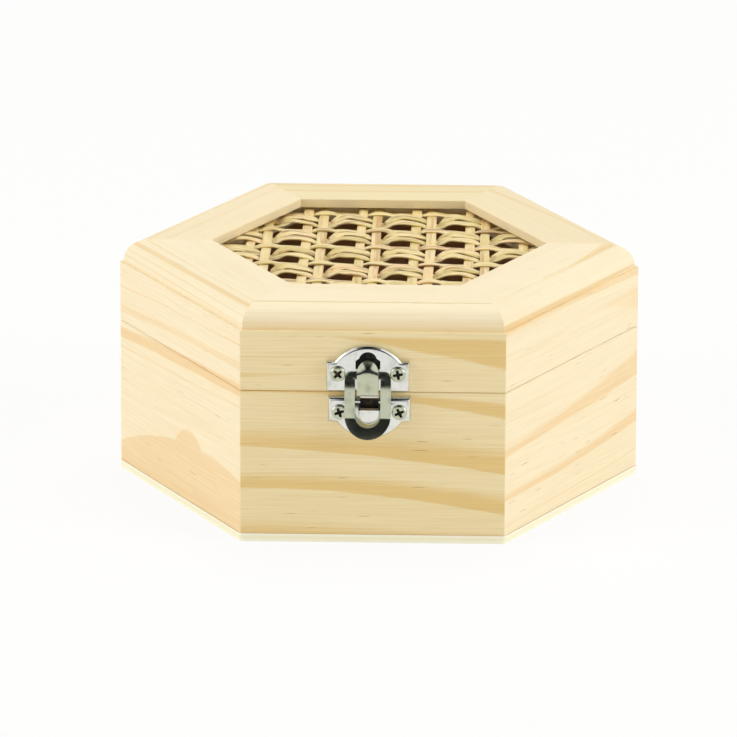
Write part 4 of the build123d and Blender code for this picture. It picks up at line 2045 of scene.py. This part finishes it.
@dataclass
class SwingLatch(Assembly):
    """Two pressed plates, the tongue and lug that they carry, the hasp between them, and four screws."""

    lid_seat: Seat = Seat(LATCH_OFFSET)
    box_seat: Seat = Seat(LATCH_OFFSET + 0.5)
    lid_plate: PressedPlate = PressedPlate(straight=0.6, shoulder=10.6, crown=15.9, rim=1.1)
    box_plate: PressedPlate = PressedPlate(straight=-1.2, shoulder=-9.7, crown=-15.2, rim=1.5)
    tongue: Tongue = Tongue()
    lug: Lug = Lug()
    hasp: Hasp = Hasp()
    slot_half_width: float = 3.95
    slot_bottom: float = 8.3
    slot_shoulder: float = 11.0
    slot_arch: float = 2.9
    slot_centre: float = 11.1
    slot_neck: float = 0.7
    screw_side: float = 9.6
    lid_screw_height: float = 6.7
    box_screw_height: float = -6.1
    screw: PanScrew = PanScrew(
        radius=2.45, height=0.95, rim=0.5, cross_length=3.2, cross_width=1.0, cross_depth=0.75
    )

    def slot(self, plate: Piece) -> None:
        """Punch the window that the tongue's tip enters.

        Args:
            plate: the upper plate.
        """
        foot = math.degrees(math.asin(self.slot_neck / self.slot_arch))
        half, low, high = self.slot_half_width, self.slot_bottom, self.slot_shoulder
        outline = [(-half, high), *rectangle(half, low, high)[:3]]
        outline += arc(0.0, self.slot_centre, self.slot_arch, foot, 180 - foot, 20)
        cutter = Bench.prism("window", self.lid_seat.sheet(outline, 0.3), self.lid_seat.way(4.0))
        Bench.combine(plate, cutter, "DIFFERENCE")

    def linings(self, recess_shade: bpy.types.Material, dark: bpy.types.Material) -> None:
        """Lay painted shade: a dark sheet behind the window and a dark floor in the notch above the lug.

        Args:
            recess_shade: painted shade on the notch's floor.
            dark: painted shade on the sheet behind the window.
        """
        # a dark sheet behind the window: painted shade inside the upper plate
        behind = [(-5.0, 7.6), (5.0, 7.6), (3.4, 13.0), (0.0, 14.2), (-3.4, 13.0)]
        backing = Bench.prism("window_painted_shade", self.lid_seat.sheet(behind, 0.25), self.lid_seat.way(0.3))
        self.place(backing, Body.LID, dark, "nickel")
        # a dark floor in the notch: painted shade on the wood above the lug
        floor = self.box_seat.sheet(rectangle(self.lug.half_width - 0.3, -5.4, -2.1), 0.03)
        notch = Bench.prism("notch_painted_shade", floor, self.box_seat.way(0.2))
        self.place(notch, Body.BOX, recess_shade, "nickel")

    def build(
        self, metal: bpy.types.Material, shaded_nickel: bpy.types.Material,
        recess_shade: bpy.types.Material, dark: bpy.types.Material,
    ) -> None:
        """Make and place the latch.

        Args:
            metal: the plating.
            shaded_nickel: a darker, greener copy of the plating for the tongue, the hasp and the screws,
                painted shade and darker reflection.
            recess_shade: painted shade in the screws' crosses, in the lug, and in the notch above it.
            dark: painted shade behind the upper plate's window.
        """
        upper = self.lid_plate.build("upper_plate", self.lid_seat)
        self.slot(upper)
        tongue = self.tongue.build(self.lid_seat, self.lid_plate.stand)
        lower = self.lug.raise_on(self.box_plate.build("lower_plate", self.box_seat), self.box_seat, recess_shade)
        for plate in (upper, lower):
            Bench.dissolve(plate, 0.3)
            Bench.smooth(plate, 38.0)
        self.place(upper, Body.LID, metal, "nickel", "latch_plate")
        self.place(tongue, Body.LID, shaded_nickel, "nickel")
        self.place(lower, Body.BOX, metal, "nickel", "catch_plate")
        self.linings(recess_shade, dark)
        self.place(self.hasp.build(self.lid_seat), Body.HASP, shaded_nickel, "nickel", "hasp")
        for word, seat, up, turns, body, node in (
            ("upper", self.lid_seat, self.lid_screw_height, (45.0, 10.0), Body.LID, "latch_screws"),
            ("lower", self.box_seat, self.box_screw_height, (20.0, 25.0), Body.BOX, "catch_screws"),
        ):
            stand = self.lid_plate.stand
            heads = [
                self.screw.build(f"{word}_screw", seat, (across, stand, up), turn, shaded_nickel, recess_shade)
                for across, turn in zip((-self.screw_side, self.screw_side), turns)
            ]
            self.place(Bench.join(heads, f"{word}_screws"), body, shaded_nickel, "nickel", node)


@dataclass
class ButtHinges(Assembly):
    """Two butt hinges on the back: rolled leaves, pins and small screws."""

    places: tuple[tuple[str, float], ...] = (("left", 23.0), ("right", -23.0))
    half_length: float = 11.0
    leaf_start: float = 2.0
    leaf_end: float = 9.5
    corner: float = 1.5
    sheet: float = 0.9
    hub_stand: float = 2.1
    roll_radius: float = 1.35
    roll_start: float = 3.2
    roll_knee: float = 2.4
    roll_entry: float = 1.1
    roll_end: float = 462.0
    lid_knuckle: float = 3.6
    box_knuckle: float = 3.8
    pin_radius: float = 0.75
    pin_overhang: float = 0.3
    screw_side: float = 6.8
    screw_height: float = 6.2
    screw: PanScrew = PanScrew(
        radius=1.8, height=0.6, rim=0.4, cross_length=2.1, cross_width=0.55, cross_depth=0.45
    )

    def leaf(self, name: str, seat: Seat, sign: float, knuckles: Sequence[tuple[float, float]]) -> Piece:
        """Model one leaf with its rolled knuckles.

        Args:
            name: name of the piece.
            seat: the face that it lies on.
            sign: 1 for the upper leaf, -1 for the lower.
            knuckles: start and end of every knuckle across.

        Returns:
            The leaf.
        """
        half = self.half_length
        outline = [
            (half, self.leaf_start), *rounded_top(half, self.leaf_end, self.corner), (-half, self.leaf_start),
        ]
        face = seat.sheet([(across, sign * up) for across, up in outline], 0.0)
        leaf = Bench.prism(name, face, seat.way(self.sheet))
        Bench.soften(leaf, 0.14, 2, 60.0)
        middle, inner = self.sheet / 2, self.hub_stand - self.roll_radius
        line = [
            (middle, self.roll_start), (middle, self.roll_knee), (inner, self.roll_entry),
            *arc(self.hub_stand, 0.0, self.roll_radius, 180.0, self.roll_end, 36),
        ]
        section = thicken([(out, sign * up) for out, up in line], self.sheet)
        for first, last in knuckles:
            roll = Bench.prism("roll", seat.side_view(section, first), seat.span(last - first))
            Bench.combine(leaf, roll, "UNION")
        Bench.smooth(leaf, 40.0)
        return leaf

    def pin(self, name: str, seat: Seat) -> Piece:
        """Turn one pin.

        Args:
            name: name of the piece.
            seat: the face that its hinge lies on.

        Returns:
            The pin.
        """
        reach = self.half_length + self.pin_overhang
        ends = [seat.at(across, self.hub_stand, 0.0) for across in (-reach, reach)]
        pin = Bench.round_bar(name, ends[0], ends[1], self.pin_radius, 32)
        Bench.soften(pin, EASED, 3, 60.0)
        Bench.smooth(pin, 40.0)
        return pin

    def build(self, metal: bpy.types.Material, recess_shade: bpy.types.Material) -> None:
        """Make and place both hinges.

        Args:
            metal: the plating.
            recess_shade: painted shade in the screws' crosses.
        """
        outer = ((-self.half_length, -self.box_knuckle), (self.box_knuckle, self.half_length))
        inner = ((-self.lid_knuckle, self.lid_knuckle),)
        heads: dict[Body, list[Piece]] = {Body.BOX: [], Body.LID: []}
        for word, middle in self.places:
            seat = Seat(middle, faces_back=True)
            for body, sign, knuckles in ((Body.BOX, -1.0, outer), (Body.LID, 1.0, inner)):
                leaf = self.leaf(f"{body.value}_leaf_{word}", seat, sign, knuckles)
                self.place(leaf, body, metal, "nickel", f"hinge_{body.value}_leaf_{word}")
                turns = (20.0 + 31.0 * sign + middle, 64.0 - 17.0 * sign + middle)
                for across, turn in zip((-self.screw_side, self.screw_side), turns):
                    place = (across, self.sheet, sign * self.screw_height)
                    heads[body].append(self.screw.build("head", seat, place, turn, metal, recess_shade))
            self.place(self.pin(f"pin_{word}", seat), Body.BOX, metal, "nickel", f"hinge_pin_{word}")
        for body, made in heads.items():
            self.place(Bench.join(made, f"hinge_{body.value}_screws"), body, metal, "nickel")


# Room


@dataclass(frozen=True)
class PhotoCamera:
    """The camera of the photograph, as fitted to the box's outline."""

    azimuth: float = 1.511
    elevation: float = 17.878
    roll: float = 0.187
    distance: float = 2627.5
    lens: float = 388.66
    right_shift: float = -3.242
    up_shift: float = 33.26

    def build(self) -> None:
        """Add the camera and make it the scene's."""
        azimuth, elevation, roll = (math.radians(v) for v in (self.azimuth, self.elevation, self.roll))
        level = math.cos(elevation)
        back = Vector((math.sin(azimuth) * level, -math.cos(azimuth) * level, math.sin(elevation)))
        flat_right = (-back).cross(Vector((0, 0, 1))).normalized()
        flat_up = flat_right.cross(-back)
        right = flat_right * math.cos(roll) + flat_up * math.sin(roll)
        up = -flat_right * math.sin(roll) + flat_up * math.cos(roll)
        data = bpy.data.cameras.new("photo_camera")
        data.lens = self.lens
        data.sensor_width = 36.0
        data.clip_start, data.clip_end = 0.05, 30.0
        camera = bpy.data.objects.new("photo_camera", data)
        turn = Matrix((right, up, back)).transposed().to_4x4()
        place = right * mm(self.right_shift) + up * mm(self.up_shift) + back * mm(self.distance)
        camera.matrix_world = Matrix.Translation(place) @ turn
        bpy.context.scene.collection.objects.link(camera)
        bpy.context.scene.camera = camera


@dataclass(frozen=True)
class SoftLamp:
    """A soft square lamp that looks at the box: its place and side in metres, its power in watts."""

    name: str
    place: tuple[float, float, float]
    side: float
    power: float
    is_mirrored: bool = True
    target: tuple[float, float, float] = (0.0, 0.0, 0.04)
    colour: tuple[float, float, float] = (1.0, 0.985, 0.955)

    def build(self) -> None:
        """Add the lamp."""
        data = bpy.data.lights.new(self.name, "AREA")
        data.shape = "SQUARE"
        data.size = self.side
        data.energy = self.power
        data.color = self.colour
        lamp = bpy.data.objects.new(self.name, data)
        lamp.location = self.place
        lamp.rotation_mode = "QUATERNION"
        lamp.rotation_quaternion = (Vector(self.place) - Vector(self.target)).to_track_quat("Z", "Y")
        lamp.visible_glossy = self.is_mirrored
        bpy.context.scene.collection.objects.link(lamp)


@dataclass(frozen=True)
class DarkCard:
    """A dark card that only the metal mirrors: its place and size in metres, its lean in degrees."""

    name: str
    place: tuple[float, float, float]
    lean: float
    size: tuple[float, float]

    def build(self, material: bpy.types.Material) -> None:
        """Add the card.

        Args:
            material: its finish.
        """
        Bench.clear()
        bpy.ops.mesh.primitive_plane_add(
            size=1.0, location=self.place, rotation=(math.radians(self.lean), 0, 0)
        )
        card = bpy.context.object
        card.scale = (*self.size, 1.0)
        Bench.settle(self.name)
        card.data.materials.append(material)
        card.visible_camera = False
        card.visible_diffuse = False
        card.visible_shadow = False
        card.visible_transmission = False


@dataclass
class Studio:
    """White table, white surroundings, soft lamps, and dark cards for the metal to mirror."""

    floor_half: float = 4000.0
    floor_glow: float = 0.86
    least_glow: float = 0.28
    world_strength: float = 0.40
    lamps: tuple[SoftLamp, ...] = (
        SoftLamp("lamp_above", (0.1, 0.5, 1.9), 1.3, 13.6),
        SoftLamp("lamp_left", (-1.9, -0.5, 0.9), 1.2, 18.1),
        SoftLamp("lamp_front", (0.0, -2.5, 0.45), 1.2, 3.2, is_mirrored=False),
        SoftLamp("lamp_right", (1.9, -0.5, 0.9), 1.2, 18.1),
    )
    cards: tuple[DarkCard, ...] = (
        DarkCard("dark_card_behind", (0.0, -3.4, 1.25), 90.0, (3.2, 2.7)),
        DarkCard("dark_card_above", (0.0, -0.7, 1.5), 180.0, (1.25, 2.7)),
    )

    def seen_white(self, graph: Graph) -> Socket:
        """Say 1 for rays from the camera and for those mirrored or passed on by the object.

        Args:
            graph: the world's graph.

        Returns:
            The socket that says it.
        """
        path = graph.node("ShaderNodeLightPath")
        seen = graph.math("MAXIMUM", path.outputs["Is Camera Ray"], path.outputs["Is Glossy Ray"])
        return graph.math("MAXIMUM", seen, path.outputs["Is Transmission Ray"])

    def table_paper(self) -> bpy.types.Material:
        """Make the table's finish: white paper that glows a little, and more where the camera sees it.

        Returns:
            The new material.
        """
        material = bpy.data.materials.new("white_table")
        material.use_nodes = True
        graph = Graph(material.node_tree)
        material.node_tree.nodes.clear()
        paper = graph.fill(graph.node("ShaderNodeBsdfDiffuse"), Color=(0.94, 0.925, 0.905, 1.0))
        glow = graph.fill(graph.node("ShaderNodeEmission"), Color=(1.0, 1.0, 1.0, 1.0), Strength=1.0)
        blend = graph.node("ShaderNodeMixShader")
        path = graph.node("ShaderNodeLightPath")
        shown = graph.math("MULTIPLY", path.outputs["Is Camera Ray"], self.floor_glow)
        graph.feed(blend.inputs[0], graph.math("MAXIMUM", shown, self.least_glow))
        graph.feed(blend.inputs[1], paper.outputs[0])
        graph.feed(blend.inputs[2], glow.outputs[0])
        graph.fill(graph.node("ShaderNodeOutputMaterial"), Surface=blend.outputs[0])
        return material

    def floor(self) -> None:
        """Add the white table top, which keeps the box's shadow."""
        Bench.clear()
        bpy.ops.mesh.primitive_plane_add(size=1.0)
        top = bpy.context.object
        top.scale = (2 * mm(self.floor_half), 2 * mm(self.floor_half), 1.0)
        Bench.settle("table_top")
        top.data.materials.append(self.table_paper())

    def dark_paint(self) -> bpy.types.Material:
        """Make the finish of the dark cards.

        Returns:
            The new material.
        """
        material, graph, shader = new_material("dark_card")
        graph.fill(shader, Base_Color=(0.007, 0.011, 0.011, 1.0), Specular_IOR_Level=0.0, Roughness=1.0)
        return material

    def surroundings(self) -> None:
        """Light the room evenly and show white where nothing stands."""
        world = bpy.data.worlds.new("white_room")
        world.use_nodes = True
        graph = Graph(world.node_tree)
        ground = next(node for node in world.node_tree.nodes if node.type == "BACKGROUND")
        strength = graph.span(self.seen_white(graph), (0.0, 1.0), (self.world_strength, 1.0))
        graph.fill(ground, Color=(1.0, 1.0, 1.0, 1.0), Strength=strength)
        bpy.context.scene.world = world

    def build(self) -> None:
        """Set up the room."""
        bpy.context.scene.view_settings.view_transform = "Standard"
        self.surroundings()
        self.floor()
        paint = self.dark_paint()
        for card in self.cards:
            card.build(paint)
        for lamp in self.lamps:
            lamp.build()


NICKEL = NickelPlate("nickel")
# a darker, greener copy of the nickel: painted shade and darker reflection on the tongue, the hasp and the
# latch's screws
SHADED_NICKEL = NickelPlate("nickel_painted_shade", srgb(196, 201, 179), srgb(170, 176, 150))
# painted shade, flecked with dust: in screw crosses, in the lug's hollow and the notch above it, and behind
# the window
RECESS_SHADE = RecessShade("painted_recess_shade", srgb(34, 26, 18), srgb(84, 70, 46))
SLOT_SHADE = RecessShade("painted_slot_shade", srgb(20, 21, 18), srgb(58, 60, 52))
CANE_LENGTHWAYS = CaneSkin(
    "cane_lengthways", Run.LENGTHWAYS,
    pale=srgb(248, 227, 166), green=srgb(226, 203, 128), tan=srgb(240, 202, 140), brown=srgb(200, 152, 88),
)
CANE_SIDEWAYS = CaneSkin(
    "cane_sideways", Run.SIDEWAYS,
    pale=srgb(252, 232, 172), green=srgb(216, 194, 118), tan=srgb(242, 203, 148), brown=srgb(150, 104, 52),
    seed=3.0,
)


def main() -> None:
    """Build and dress everything, and log how many pieces each part has."""
    logging.basicConfig(level=logging.INFO, format="%(name)s %(message)s")
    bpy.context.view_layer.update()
    Studio().build()
    PhotoCamera().build()
    pine = {side: cut.material() for side, cut in WALL_CUTS.items()}
    nickel, shaded_nickel, recess_shade, dark = (skin.material() for skin in (NICKEL, SHADED_NICKEL, RECESS_SHADE, SLOT_SHADE))
    carcass, lid, cane, latch, hinges = Carcass(), LidFrame(), CanePanel(), SwingLatch(), ButtHinges()
    carcass.build(pine)
    lid.build(pine)
    cane.build(CANE_LENGTHWAYS.material(), CANE_SIDEWAYS.material())
    latch.build(nickel, shaded_nickel, recess_shade, dark)
    hinges.build(nickel, recess_shade)
    for part in (carcass, lid, cane, latch, hinges):
        log.info("%s: %d pieces", type(part).__name__, len(part.made))


if __name__ == "__main__":
    main()
